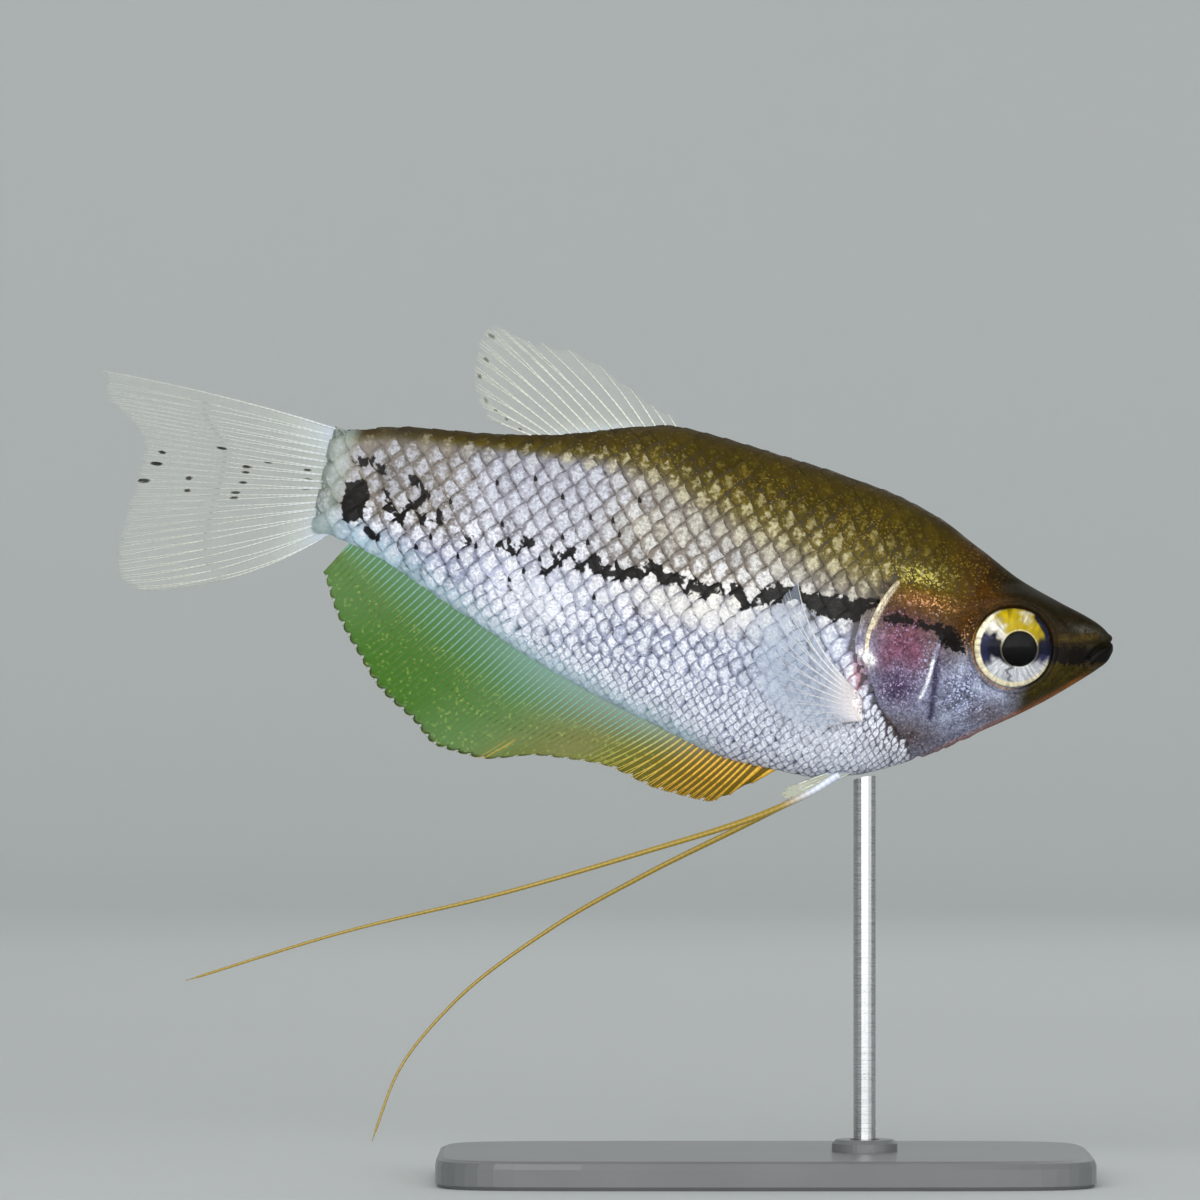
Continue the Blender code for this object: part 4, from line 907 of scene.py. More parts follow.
def skin_relief(s, h):
    """How far the skin stands out from the plain body, as a sum of bells and steps of the side view.

    It sinks by the coat's depth under the scales, rises over the gill cover and along the lips and
    the preopercle, and dips in the mouth's cleft, the nostrils, the folds of the jaw and the throat.
    """
    behind = behind_gill(s, h)
    over_cover = fade_mm(h, 1.2, 2.8)
    step = fade_mm(behind, -0.06, 0.12)
    scaled = over_cover * fade_mm(s, 9, 13) + (1 - over_cover) * step
    front = np.interp(h, COVER_FRONT[:, 1], COVER_FRONT[:, 0])
    cover = (1 - step) * (1 - over_cover) * fade_mm(h, -10.4, -8.6)
    cleft, fold = line_distance(s, h, MOUTH_LINE), line_distance(s, h, JAW_REAR_LINE)
    rise = (h - smooth_curve(BELLY_LINE, s)) / MM
    throat = fade_mm(s, 5.5, 8.5) * fade_mm(s, 16.5, 13.5) * fade(rise, 3.4, 2.4)
    # Each feature's height in millimetres and its shape from 0 to 1
    features = [(0.2, cover * fade(s, front - 0.7 * MM, front + MM)),
                (-0.12, bell_mm(behind, 0.3, 0.25) * (1 - over_cover)),
                (0.12, bell_mm(line_distance(s, h, PREOPERCLE), 0, 0.2)),
                (-0.08, bell_mm(line_distance(s, h, CHEEK_FOLD), 0, 0.35)),
                (0.13, bell_mm(cleft, 0.42, 0.24) * fade_mm(s, 2.3, 1.5)),
                (-0.3, bell_mm(cleft, 0, 0.11)),
                (-0.1, bell_mm(fold, 0, 0.16) * fade_mm(h, -5.6, -3.4))]
    for nostril_s, nostril_h in NOSTRILS:
        near = np.hypot(s - nostril_s, h - nostril_h)
        features += [(0.06, bell_mm(near, 0.3, 0.1)), (-0.3, bell_mm(near, 0, 0.17))]
    features.append((-0.05, throat * (0.5 + 0.5 * np.cos(rise * 2 * math.pi / 0.75))))
    out = -sizes().bare_depth - (sizes().coat_depth - sizes().bare_depth) * scaled
    for height, shape in features:
        out = out + height * MM * shape
    return out


def set_orbit(s, h, width):
    """Bring the flank round the eye onto the plane of the eye's rim, and sink it under the eye."""
    distance = np.hypot(s - EYE_BACK, h - EYE_UP)
    plane = EYE_RIM + math.tan(EYE_TURN) * (s - EYE_BACK)
    width = width + (plane - width) * fade(distance, ORBIT_OUTER, ORBIT_INNER)
    return width - ORBIT_DEPTH * fade_mm(distance, 3.1, 2.6)


def flank_sheet():
    """One flank of the skin as a grid of (s, h, y): rings run back, columns from belly to back.

    A ring is a half superellipse about the widest level. The snout and the tail's end are rounded by
    a quarter circle, and the relief is laid on along the surface's normal.
    """
    s = stations()[:, None]
    lift = np.linspace(-math.pi / 2, math.pi / 2, FLANK_COLUMNS + 1)[None, :]
    back, belly, half, level, back_keel, belly_keel = section(np.minimum(s, BODY_LENGTH))
    nose = np.sqrt(1 - np.clip(1 - s / NOSE_ROUND, 0, 1) ** 2)
    tail = np.sqrt(1 - np.clip((s - BODY_LENGTH) / TAIL_ROUND, 0, 1) ** 2)
    up = np.sin(lift)
    h = level + np.where(up > 0, back - level, level - belly) * up * nose
    width = half * np.cos(lift).clip(0) ** np.where(up > 0, back_keel, belly_keel) * nose * tail
    s = np.broadcast_to(s, h.shape)
    sheet = np.stack([s, h, width], -1)
    normal = np.cross(np.gradient(sheet, axis=0), np.gradient(sheet, axis=1))
    normal[:, [0, -1], 2] = 0
    normal /= np.linalg.norm(normal, axis=2)[..., None]
    calm = (fade_mm(s, 0, 0.35) * fade(s, BODY_LENGTH + TAIL_ROUND, BODY_LENGTH))[..., None]
    sheet = sheet + normal * skin_relief(s, h)[..., None] * calm
    sheet[..., [0, 2]] = np.maximum(sheet[..., [0, 2]], 0.0)
    sheet[..., 2] = np.where(width > 0.4 * MM, set_orbit(s, h, sheet[..., 2]), sheet[..., 2])
    sheet[:, [0, -1], 2] = 0
    return sheet


def girth_table(sheet):
    """The flank at even steps of girth, the distance along a ring from where it crosses the axis."""
    girth = np.arange(*GIRTH_REACH, GIRTH_STEP)
    step = np.linalg.norm(np.diff(sheet[..., 1:], axis=1), axis=2)
    run = np.concatenate([np.zeros((len(sheet), 1)), np.cumsum(step, axis=1)], 1)
    rows, limits = [], []
    for ring, length in zip(sheet, run):
        length = length - np.interp(AXIS_HEIGHT, ring[:, 1], length)
        rows.append([np.interp(girth, length, ring[:, i]) for i in range(3)])
        limits.append((length[0], length[-1]))
    points = np.moveaxis(np.array(rows), 1, 2)
    normal = np.cross(np.gradient(points, axis=0), np.gradient(points, axis=1))
    normal /= np.maximum(np.linalg.norm(normal, axis=2), 1e-12)[..., None]
    return {"s": sheet[:, 0, 0], "points": points, "normal": normal, "limits": np.array(limits)}


def on_flank(table, s, g):
    """Point and outward normal of the flank at distance s and girth g, by bilinear weights."""
    row = np.clip(np.searchsorted(table["s"], s) - 1, 0, len(table["s"]) - 2)
    across = np.clip((s - table["s"][row]) / (table["s"][row + 1] - table["s"][row]), 0, 1)[..., None]
    place_g = np.clip((g - GIRTH_REACH[0]) / GIRTH_STEP, 0, table["points"].shape[1] - 1.001)
    column = place_g.astype(int)
    part = (place_g - column)[..., None]
    mixed = []
    for grid in (table["points"], table["normal"]):
        near = grid[row, column] * (1 - part) + grid[row, column + 1] * part
        far = grid[row + 1, column] * (1 - part) + grid[row + 1, column + 1] * part
        mixed.append(near * (1 - across) + far * across)
    return mixed[0], mixed[1] / np.maximum(np.linalg.norm(mixed[1], axis=-1), 1e-12)[..., None]


def girth_limits(table, s):
    """Girth at the belly and at the back, at distance s."""
    return [np.interp(s, table["s"], table["limits"][:, i]) for i in (0, 1)]


def make_skin(flank):
    """Whole skin: one flank from belly to back, then the other back down, with both ends closed."""
    rings = len(flank)
    grid = np.concatenate([flank, flank[:, -2:0:-1] * (1, 1, -1)], 1)
    around = grid.shape[1]
    points = fish_to_world(grid.reshape(-1, 3))
    faces = outward(points, grid_faces(rings, around, wrap=True))
    ring_of, column_of = np.divmod(faces, around)
    seam = (column_of == 0) & (column_of.max(axis=1) == around - 1)[:, None]
    shares = ring_of / (rings - 1), np.where(seam, around, column_of) / around
    bake = 0.005 + 0.98 * np.stack(shares, -1).reshape(-1, 2)
    whole = capped(faces, rings, around)
    for number, end in enumerate(whole[-2:]):
        turn = 2 * math.pi * (np.array(end) % around) / around
        cap = np.stack([0.995 + 0.002 * np.cos(turn), 0.25 + 0.5 * number + 0.002 * np.sin(turn)], 1)
        bake = np.concatenate([bake, cap])
    fields = skin_fields(grid[..., 0].ravel(), grid[..., 1].ravel())
    skin = new_piece("skin", points, whole, "wet_fish_skin", fields, bake)
    place(skin, "head_skin", "head", "lower_jaw", "gill_cover_left", "gill_cover_right", "trunk", "tail_stem")


def scale_template(rows=6, columns=7):
    """One scale as a closed shell: top grid, a rim below its edge and a middle point underneath.

    Returns along and across shares, the part of its thickness that each point lies down, the
    triangles and which of them are on top. Its free edge is a curve that falls back to the sides.
    """
    a = np.linspace(0, 1, rows)[:, None] ** 0.85
    b = np.linspace(-1, 1, columns)[None, :]
    along = a * (1 - 0.34 * np.abs(b) ** 2.3 * a)
    across = b * (0.74 + 0.55 * a - 0.36 * a ** 3)
    top = np.stack([along, across, np.zeros_like(along), np.broadcast_to(a, along.shape)], -1).reshape(-1, 4)
    index = np.arange(rows * columns).reshape(rows, columns)
    rim = np.concatenate([index[0], index[1:, -1], index[-1, -2::-1], index[-2:0:-1, 0]])
    points = np.concatenate([top, top[rim] + (0, 0, 1, 0), [(0.5, 0.0, 2.0, 0.5)]])
    quads = grid_faces(rows, columns)
    triangles = [*quads[:, :3], *quads[:, [0, 2, 3]]]
    on_top = len(triangles)
    count, last = len(top), len(points) - 1
    for i, here in enumerate(rim):
        j = (i + 1) % len(rim)
        there = rim[j]
        triangles += [(here, count + i, there), (there, count + i, count + j), (count + j, count + i, last)]
    return points, np.array(triangles), on_top


def scale_rows(zones, shrink):
    """Roots on a staggered lattice of distance back and girth, as rows (s, g, period, row step).

    Each zone gives its highest girth, its period and its row step. In a row, a root stands wherever
    the number of periods counted back from the snout, plus half for every other row, is whole.
    """
    levels = [(GIRTH_REACH[1], *zones[0][1:])]
    while levels[-1][0] > GIRTH_REACH[0]:
        period, step = [zone[1:] for zone in zones if levels[-1][0] <= zone[0]][-1]
        levels.append((levels[-1][0] - step, period, step))
    fine = np.linspace(0, BODY_LENGTH, 600)
    roots = []
    for number, (g, period, step) in enumerate(levels):
        counted = np.cumsum(1 / (period * shrink(fine))) * (fine[1] - fine[0]) + 0.5 * (number % 2)
        s = np.interp(np.arange(1, math.floor(counted[-1]) + 1), counted, fine)
        roots.append(np.stack([s, np.full(len(s), g), period * shrink(s), np.full(len(s), step)], 1))
    return np.concatenate(roots)


def pearl_colour(s, h, tone):
    """Colour of a scale's pale patch with its strength: pearl on the flank, dull olive on the back."""
    back, over_belly = smooth_curve(BACK_LINE, s) - h, h - smooth_curve(BELLY_LINE, s)
    shade = smooth_curve(BACK_SHADE, s)
    pearl = layered(
        plain("pearl", s),
        ("pearl_up", fade_mm(h, -1.8, 1.2)),
        ("pearl_low", fade_mm(h, -2.5, -6)),
        ("cream", 0.8 * patch_mask(s, h, (29.5, -2.6, 9.0, 2.4))),
        ("blue_white", 0.8 * patch_mask(s, h, (24.5, -6.0, 4.0, 4.0))),
        ("pearl_back", 0.6 * patch_mask(s, h, (35.5, 1.8, 4.0, 1.8))),
        ("pearl_back", fade(back, 1.7 * shade, 0.9 * shade)),
        ("back_spot", fade(back, 0.95 * shade, 0.4 * shade)))
    amount = 0.75 + 0.25 * tone
    # Places where the patches are weaker, each with the share that they lose
    for share, mask in ((0.75, fade(back, 0.7 * shade, 0.2 * shade)),
                        (0.8, fade_mm(back, 2, 0.5)),
                        (0.7, fade_mm(s, 19, 12) * fade_mm(h, -1, 1)),
                        (0.35, fade_mm(s, 50, 54) * fade_mm(h, -1.5, 0.5)),
                        (0.7, fade_mm(over_belly, 1.6, 0.2) * fade_mm(s, 26, 30)),
                        (0.6, fade_mm(s, 58.5, 60.4))):
        amount = amount * (1 - share * mask)
    return with_alpha(pearl, amount)


def patch_loss(s, h):
    """How much smaller a scale's pale patch is than on the middle of the flank, towards back and tail."""
    below_back = (smooth_curve(BACK_LINE, s) - h) / smooth_curve(BACK_SHADE, s)
    loss = 0.85 * fade(below_back, 1.6, 0.5) + 0.3 * fade_mm(s, 50, 54)
    loss = loss - 0.4 * fade_mm(h, -6.5, -9.5) - 0.35 * patch_mask(s, h, (26.0, 4.2, 4.0, 2.2))
    return loss - 0.5 * patch_mask(s, h, (44.0, -5.4, 3.5, 2.0))


def lay_scales(name, table, word, roots, reach, material, slot):
    """Coat piece of scales: each root carries the template over the flank, rising to its free edge.

    Reach is every scale's length, half width and lift. A scale's points are its root's place plus the
    template's shares of these, set out along the flank's normal there. Roots stray at random by a
    few hundredths of a scale, and each scale has its own tone and its own luck with its patch's size.
    """
    shape, triangles, on_top = scale_template()
    side = dict(SIDES)[word]
    length, width, lift = reach
    random = np.random.default_rng(SEEDS[word])
    jitter = random.normal(0, 0.045, (len(length), 2)) * np.where(length < 1.9 * MM, 1.6, 1.0)[:, None]
    tone = random.random(len(length))
    luck = random.normal(0, 0.22, len(length))
    s0, g0 = roots[0] + jitter[:, 0] * length, roots[1] + jitter[:, 1] * width
    points, normal = on_flank(table, s0[:, None] + shape[:, 0] * length[:, None],
                              g0[:, None] + shape[:, 1] * width[:, None])
    rise = (-0.25 + 1.2 * shape[:, 3] + 0.18 * (1 - shape[:, 1] ** 2)) * lift[:, None]
    points = points + normal * (rise - shape[:, 2] * sizes().scale_thick)[..., None]
    points[..., 2] = np.maximum(points[..., 2], SCALE_CLEARANCE) * side
    middle, _ = on_flank(table, s0 + 0.7 * length, g0)
    middle_s, middle_h = middle[:, 0], middle[:, 1]
    count = len(shape)
    fields = skin_fields(points[..., 0].ravel(), points[..., 1].ravel())
    if slot == "flank_skin":
        first, last, level, reach_up = TICK_ZONE
        ticked = (tone < TICK_SHARE) & (middle_s > first) & (middle_s < last)
        ticked = ticked & (abs(middle_h - level) < reach_up)
        tip = (shape[:, 3] > 0.95) & (abs(shape[:, 1]) < 0.2)
        fields["black"] = np.where((ticked[:, None] & tip).ravel(), TICK_DEPTH, fields["black"])
        fields["pearl"] = np.repeat(pearl_colour(middle_s, middle_h, tone), count, axis=0)
        core = 1 - ((shape[:, 3] - 0.68) / 0.2) ** 2 - (shape[:, 1] / 0.75) ** 2
        fields["core"] = (core + (luck - patch_loss(middle_s, middle_h))[:, None]).ravel()
        fields["tone"] = np.repeat(tone, count)
    faces = (triangles + count * np.arange(len(length))[:, None, None]).reshape(-1, 3)
    # Bake map: a patch at each root's place, the top beside the rim and underside
    girth_share = (g0 - GIRTH_REACH[0]) / (GIRTH_REACH[1] - GIRTH_REACH[0])
    home = 0.02 + 0.96 * np.stack([s0 / (BODY_LENGTH + TAIL_ROUND), girth_share], -1)
    top = np.stack([(shape[:, 0] - 0.75) * 0.66, shape[:, 1] * 0.5], 1) * BAKE_PATCH
    low = np.stack([shape[:, 0] * 0.24 + 0.22, shape[:, 1] * 0.45], 1) * BAKE_PATCH
    corner = np.where((np.arange(len(triangles)) < on_top)[:, None, None], top[triangles], low[triangles])
    bake = (home[:, None, None, :] + corner).reshape(-1, 3, 2)
    world = fish_to_world(points.reshape(-1, 3))
    turned = outward(world, faces)
    if turned is not faces:
        bake = bake[:, ::-1]
    place(new_piece(name, world, turned.tolist(), material, fields, bake, crease=40), slot)


def flank_scales(table, word):
    """Scales of the trunk, nape and tail stem, in three zones that grow finer down to the belly."""
    kit = sizes()
    row, fine = kit.scale_row, kit.fine_row
    zones = [(GIRTH_REACH[1], kit.scale_period, row),
             (MIDDLE_ZONE, 0.5 * (kit.scale_period + kit.fine_period), 0.5 * (row + fine)),
             (FINE_ZONE, kit.fine_period, fine)]
    s, g, period, step = scale_rows(zones, lambda s: 0.6 + 0.4 * fade_mm(s, 10, 24)).T
    low, high = girth_limits(table, s)
    h = on_flank(table, s, g)[0][:, 1]
    inside = (g > low + 0.35 * step) & (g < high - 0.35 * step) & (s < BODY_LENGTH - 0.4 * MM)
    nape = (h > 2.0 * MM) & (s > 10.5 * MM)
    inside = inside & ((behind_gill(s, h) > 0.1 * MM) | nape)
    s, g, h, period, step = (values[inside] for values in (s, g, h, period, step))
    below_back = (smooth_curve(BACK_LINE, s) - h) / smooth_curve(BACK_SHADE, s)
    lift = kit.scale_lift * step / row * (0.2 + 0.8 * fade_mm(s, 11, 19))
    lift = lift * (1 - 0.5 * fade(below_back, 1.4, 0.6))
    lay_scales("scales_" + word, table, word, (s, g), (1.5 * period, 1.12 * step, lift), "pearly_scale",
               "flank_skin")


def cheek_scales(table, word):
    """Small, close scales of the cheek, the gill cover and the throat."""
    roots = scale_rows([(GIRTH_REACH[1], *CHEEK_SCALE)], np.ones_like)
    s, g, period, step = roots.T
    low, _ = girth_limits(table, s)
    h = on_flank(table, s, g)[0][:, 1]
    from_eye = np.hypot(s - EYE_BACK, h - EYE_UP)
    keep = (g > low + 0.4 * step) & (s > 8.6 * MM) & (h < -2.2 * MM) & (from_eye > 4.1 * MM)
    ridge = line_distance(s + 0.5 * period, h, PREOPERCLE)
    keep = keep & (behind_gill(s, h) < -1.25 * MM) & (ridge > 0.75 * MM)
    s, g, period, step = roots[keep].T
    lift = np.full(len(s), CHEEK_LIFT)
    lay_scales("cheek_scales_" + word, table, word, (s, g), (1.45 * period, 1.1 * step, lift),
               "wet_fish_skin", "head_skin")


def eye_place(radius, angle, out, side):
    """Points at a radius and angle about the eye's axis, out of its rim's plane; angle 0 is rearwards."""
    back = radius * np.cos(angle)
    s = EYE_BACK + back * math.cos(EYE_TURN) - out * math.sin(EYE_TURN)
    h = EYE_UP + radius * np.sin(angle)
    y = side * (EYE_RIM + back * math.sin(EYE_TURN) + out * math.cos(EYE_TURN))
    return np.stack([s, h, y], -1)


def iris_colours(radius, angle, pupil_distance):
    """Iris colours by angle and radius: gold over the pupil, silver under it, dark to both sides, a pale
    outer rim behind and below, a thin bright ring round the pupil."""
    turn = np.degrees(np.arctan2(np.sin(angle), -np.cos(angle))) % 360
    part = radius / EYE_RADIUS
    turn = turn + 5 * np.sin(13 * part) + 4 * np.sin(31 * part + 2)
    streak = 0.5 + 0.5 * np.sin(turn * 0.31 + 9 * part) * np.sin(turn * 0.83)
    silver = fade(turn, 212, 236) * fade(turn, 352, 328) * (0.65 + 0.35 * streak)
    silver = silver * (1 - 0.75 * bell(turn, 272, 5)) * fade(part, 0.42, 0.5)
    reach = 0.84 + 0.13 * fade(turn, 44, 76)
    gold = fade(turn, 20, 42) * fade(turn, 168, 146) * fade(part, reach + 0.02, reach - 0.02)
    pale = fade(turn, 118, 146) * 0.75 + 0.45 * bell(turn, 76, 9) * fade(part, 0.6, 0.75)
    thick = 0.855 + 0.06 * fade(turn, 262, 340) + 0.05 * fade(turn, 162, 130)
    rim = fade(part, thick - 0.02, thick + 0.015) * (1 - fade(turn, 140, 116) * fade(turn, 5, 15))
    rim = rim * (1 - fade(turn, 340, 356)) * fade(turn, 110, 130)
    pupil = sizes().pupil
    ring = bell(pupil_distance, pupil + 0.08 * MM, 0.045 * MM)
    ground = layered(
        plain("iris_dark", radius),
        ("iris_mauve", 0.9 * fade(part, 0.56, 0.78) * (0.25 + 0.75 * fade(turn, 112, 162))),
        ("iris_silver", silver),
        ("iris_gold", gold),
        ("iris_silver", gold * pale),
        ("iris_rim", 0.96 * rim),
        ("iris_rim", 0.7 * ring * (0.25 + 0.75 * fade(turn, 196, 162) * fade(turn, 15, 40))),
        ("ink", fade(part, 0.985, 0.997)))
    inside = fade(pupil_distance, pupil + 0.03 * MM, pupil - 0.03 * MM)
    return over(ground, np.array(linear("020203")), inside)


def from_pupil(radius, angle):
    """Distance from the pupil's middle, which sits a little ahead of the eye's axis."""
    return np.hypot(radius * np.cos(angle) - PUPIL_SHIFT, radius * np.sin(angle))


def make_eye(word, side):
    """Eye: a ball with a shallow iris and a bulging pupil, and a clear cornea over it."""
    kit = sizes()
    angle = circle(EYE_AROUND)[None, :]
    front = np.concatenate([[0.004], np.linspace(0.02, 0.99, 58)])[:, None] * EYE_RADIUS
    pupil_distance = from_pupil(front, angle)
    dome = IRIS_DOME * np.sqrt(1 - np.clip(front / EYE_RADIUS, 0, 1) ** 2)
    lens = LENS_RISE * np.sqrt(np.clip(1 - (pupil_distance / kit.pupil) ** 2, 0, 1))
    lip = 0.05 * MM * bell(pupil_distance, kit.pupil + 0.09 * MM, 0.07 * MM)
    out = dome - 0.03 * MM + lens + lip
    back = np.linspace(1.5, 0.02, 12)[:, None]
    behind = EYE_RADIUS * 0.985 * np.sin(back), -(EYE_DEPTH - 0.1 * MM) * np.cos(back)
    radius, out = (np.concatenate([np.broadcast_to(ahead, (len(front), EYE_AROUND)),
                                   np.broadcast_to(rear, (len(back), EYE_AROUND))])
                   for ahead, rear in zip((front, out), behind))
    angle = np.broadcast_to(angle, radius.shape)
    ground = iris_colours(radius, angle, from_pupil(radius, angle))
    polar = np.stack([np.cos(angle) * 2.0, np.sin(angle) * 2.0, radius / EYE_RADIUS * 0.6], -1)
    ball = closed_piece("eyeball_" + word, eye_place(radius, angle, out, side), "silver_iris",
                        {"ground": ground.reshape(-1, 3), "polar": polar.reshape(-1, 3)})
    place(ball, "eye", "eye_" + word)
    shell = np.linspace(0.01, 1.0, 40)
    domes = [depth * np.sqrt(1 - shell ** 2) for depth in (EYE_DOME, EYE_DOME - kit.cornea)]
    angle = circle(CORNEA_AROUND)[None, :]
    radius = np.concatenate([shell, shell[-2::-1]])[:, None] * EYE_RADIUS * np.ones_like(angle)
    out = np.concatenate([domes[0], domes[1][-2::-1]])[:, None] * np.ones_like(angle)
    place(closed_piece("cornea_" + word, eye_place(radius, angle, out, side), "clear_cornea"), "eye")


def make_eye_fold(word, side):
    """Low round fold of skin about the eye: a closed ring whose section is a flat oval."""
    angle, turn = circle(EYE_AROUND)[:, None], circle(FOLD_AROUND)[None, :]
    radius = EYE_FOLD + 0.24 * MM * np.cos(turn) + 0 * angle
    out = -0.05 * MM + 0.12 * MM * np.sin(turn) + 0.01 * MM * np.cos(3 * angle)
    grid = eye_place(radius, angle, out, side)
    points = fish_to_world(grid.reshape(-1, 3))
    faces = grid_faces(EYE_AROUND + 1, FOLD_AROUND, wrap=True) % (EYE_AROUND * FOLD_AROUND)
    fields = skin_fields(grid[..., 0].ravel(), grid[..., 1].ravel(), 0.5)
    inner, low = (np.broadcast_to(share, radius.shape).ravel() for share in (
        fade(np.cos(turn), -0.2, -0.9), fade(np.sin(angle), 0.5, 0.1) * fade(np.cos(angle), -0.4, 0.1)))
    fields["ground"] = layered(fields["ground"], ("head_dark", np.full(len(points), 0.35)),
                               ("iris_edge", 0.9 * inner * low), ("ink", 0.75 * inner * (1 - low)))
    fold = new_piece("eye_fold_" + word, points, outward(points, faces).tolist(), "wet_fish_skin", fields)
    place(fold, "head_skin")


def tube_shells(paths, radius, sides):
    """Closed tubes along paths (tube, step, 3): rings of points across the run, ends closed by faces.

    A ring is the path's point plus cosine and sine of the turn along two directions across its run.
    """
    run = np.gradient(paths, axis=1)
    run /= np.linalg.norm(run, axis=2)[..., None]
    first = np.cross(run, (0.0, 0.0, 1.0))
    first /= np.linalg.norm(first, axis=2)[..., None]
    second = np.cross(run, first)
    turn = circle(sides)[None, None, :, None]
    ring = np.cos(turn) * first[:, :, None] + np.sin(turn) * second[:, :, None]
    points = paths[:, :, None] + ring * radius[:, :, None, None]
    tubes, steps = paths.shape[:2]
    one = grid_faces(steps, sides, wrap=True)
    faces = (one[None] + (steps * sides) * np.arange(tubes)[:, None, None]).reshape(-1, 4)
    world = fish_to_world(points.reshape(-1, 3))
    turned = outward(world, faces)
    way = -1 if turned is faces else 1
    start = np.arange(sides)[None] + steps * sides * np.arange(tubes)[:, None]
    end = start + (steps - 1) * sides
    return world, turned.tolist() + start[:, ::way].tolist() + end[:, ::-way].tolist()


def fan(fin, u, v):
    """Points of a fin at share u of its base and share v from root to margin.

    A point lies on the straight line from root to margin, bowed sideways by 4v(1-v) of its bend, and
    the fin's own rule gives how far out it stands.
    """
    root = fin["root"](u)
    rows = np.array(fin["margin"], dtype=float)
    tip = np.stack([smooth_curve(rows[:, [0, 1]], u), smooth_curve(rows[:, [0, 2]], u)], -1) * MM
    length = np.linalg.norm(tip - root, axis=-1)[..., None]
    run = (tip - root) / length
    root = root - run * fin["sink"]
    across = np.stack([-run[..., 1], run[..., 0]], -1)
    v = np.asarray(v)
    flat = root + (tip - root) * v[..., None] + across * (fin["bend"](u) * 4 * v * (1 - v))[..., None]
    return np.concatenate([flat, fin["out"](u, v, flat)[..., None]], -1)


def fin_length(fin, u):
    """Length of the fin from root to margin at share u."""
    ends = fan(fin, u, np.zeros_like(u)), fan(fin, u, np.ones_like(u))
    return np.linalg.norm(ends[1] - ends[0], axis=-1)


def make_membrane(name, fin):
    """Fin skin: two faces a film apart over the fan, notched between ray tips, thick at the root."""
    columns, rows = fin["grid"]
    u = np.linspace(0, 1, columns)[:, None]
    v = np.linspace(0, 1, rows)[None, :] ** 0.9
    crest = np.abs(np.cos(math.pi * u * (fin["rays"] - 1))) ** 0.6
    reach = 1 - fin["notch"] * (1 - crest) / fin_length(fin, u)
    u, v = np.broadcast_arrays(u, v * reach)
    middle = fan(fin, u, v)
    half = sizes().membrane + fin["root_half"] * np.exp(-v * fin_length(fin, u) / fin["root_reach"])
    half = half * (0.3 + 0.7 * fade(v, 1.0, 0.94)) * np.sqrt(1 - 0.92 * np.abs(2 * u - 1) ** 12)
    shift = np.stack([0 * half, 0 * half, half], -1)
    points = np.concatenate([fish_to_world(grid.reshape(-1, 3)) for grid in (middle - shift, middle + shift)])
    count = rows * columns
    quads = grid_faces(columns, rows)
    index = np.arange(count).reshape(columns, rows)
    rim = np.concatenate([index[:, 0], index[-1, 1:], index[-2::-1, -1], index[0, -2:0:-1]])
    after = np.roll(rim, -1)
    sides = np.stack([rim, rim + count, after + count, after], 1)
    faces = np.concatenate([quads[:, ::-1], quads + count, sides[:, ::-1]])
    u, v = u.ravel(), v.ravel()
    # Painted glints on the outer skin of a fin whose kit asks for them
    glint = 0.11 * fin["glint"] * fade(u, 0.08, 0.25) * fade(v, 0.2, 0.45)
    fields = {"ground": fin["paint"](u, v), "black": fin["specks"](u, v),
              "painted_glints": with_alpha(plain("fin_glint", u), glint)}
    fields = {field: np.concatenate([values, values]) for field, values in fields.items()}
    return new_piece(name, points, outward(points, faces).tolist(), "clear_fin_skin", fields)


def ray_strokes(fin):
    """Runs of every ray: start and end share of base and of length, and start and end radius.

    A spine is one run. A soft ray is a stem, left out where it forks at its root, that parts into two
    branches, and these into four twigs.
    """
    step = 1 / (fin["rays"] - 1)
    thick = fin["ray_radius"]
    fork, again = fin["forks"]
    strokes = []
    for ray in range(fin["rays"]):
        u = ray * step
        if ray < fin["spines"]:
            strokes.append((u, u, 0.0, 1.02, thick * 1.15, thick * 0.4))
            continue
        if fork > 0:
            strokes.append((u, u, 0.0, fork + 0.02, thick, thick * 0.8))
        for side in (-1, 1):
            half = u + side * fin["split"] * step
            strokes.append((u if fork > 0 else half, half, fork, again + 0.02, thick * 0.68, thick * 0.5))
            for twig in (-1, 1):
                tip = half + twig * 0.4 * (0.5 - fin["split"]) * step
                strokes.append((half, tip, again, 1.0, thick * 0.42, thick * 0.24))
    return np.clip(np.array(strokes), None, 1.2)


def make_rays(name, fin):
    """Fin rays: tapered tubes along the fan, clipped to the fin's own first and last ray."""
    t = np.linspace(0, 1, RAY_STEPS)[None, :]
    u, v, radius = (start[:, None] + (end - start)[:, None] * t
                    for start, end in ray_strokes(fin).T.reshape(3, 2, -1))
    u = np.clip(u, 0, 1)
    points, faces = tube_shells(fan(fin, u, v), radius * fin["stout"](u), RAY_SIDES)
    paint = fin["ray_paint"](u, v).reshape(-1, 4)
    along = (v * fin_length(fin, u)).ravel()
    fields = {"ground": np.repeat(paint, RAY_SIDES, axis=0), "along": np.repeat(along, RAY_SIDES)}
    return new_piece(name, points, faces, "bony_fin_ray", fields)


def make_fin(name, end, fin):
    """Skin and rays of one fin, which stand for its solid; end is the ending of a paired fin's names."""
    for piece in (make_membrane(f"{name}_skin{end}", fin), make_rays(f"{name}_rays{end}", fin)):
        place(piece, fin["slot"], f"{name}_fin{end}")


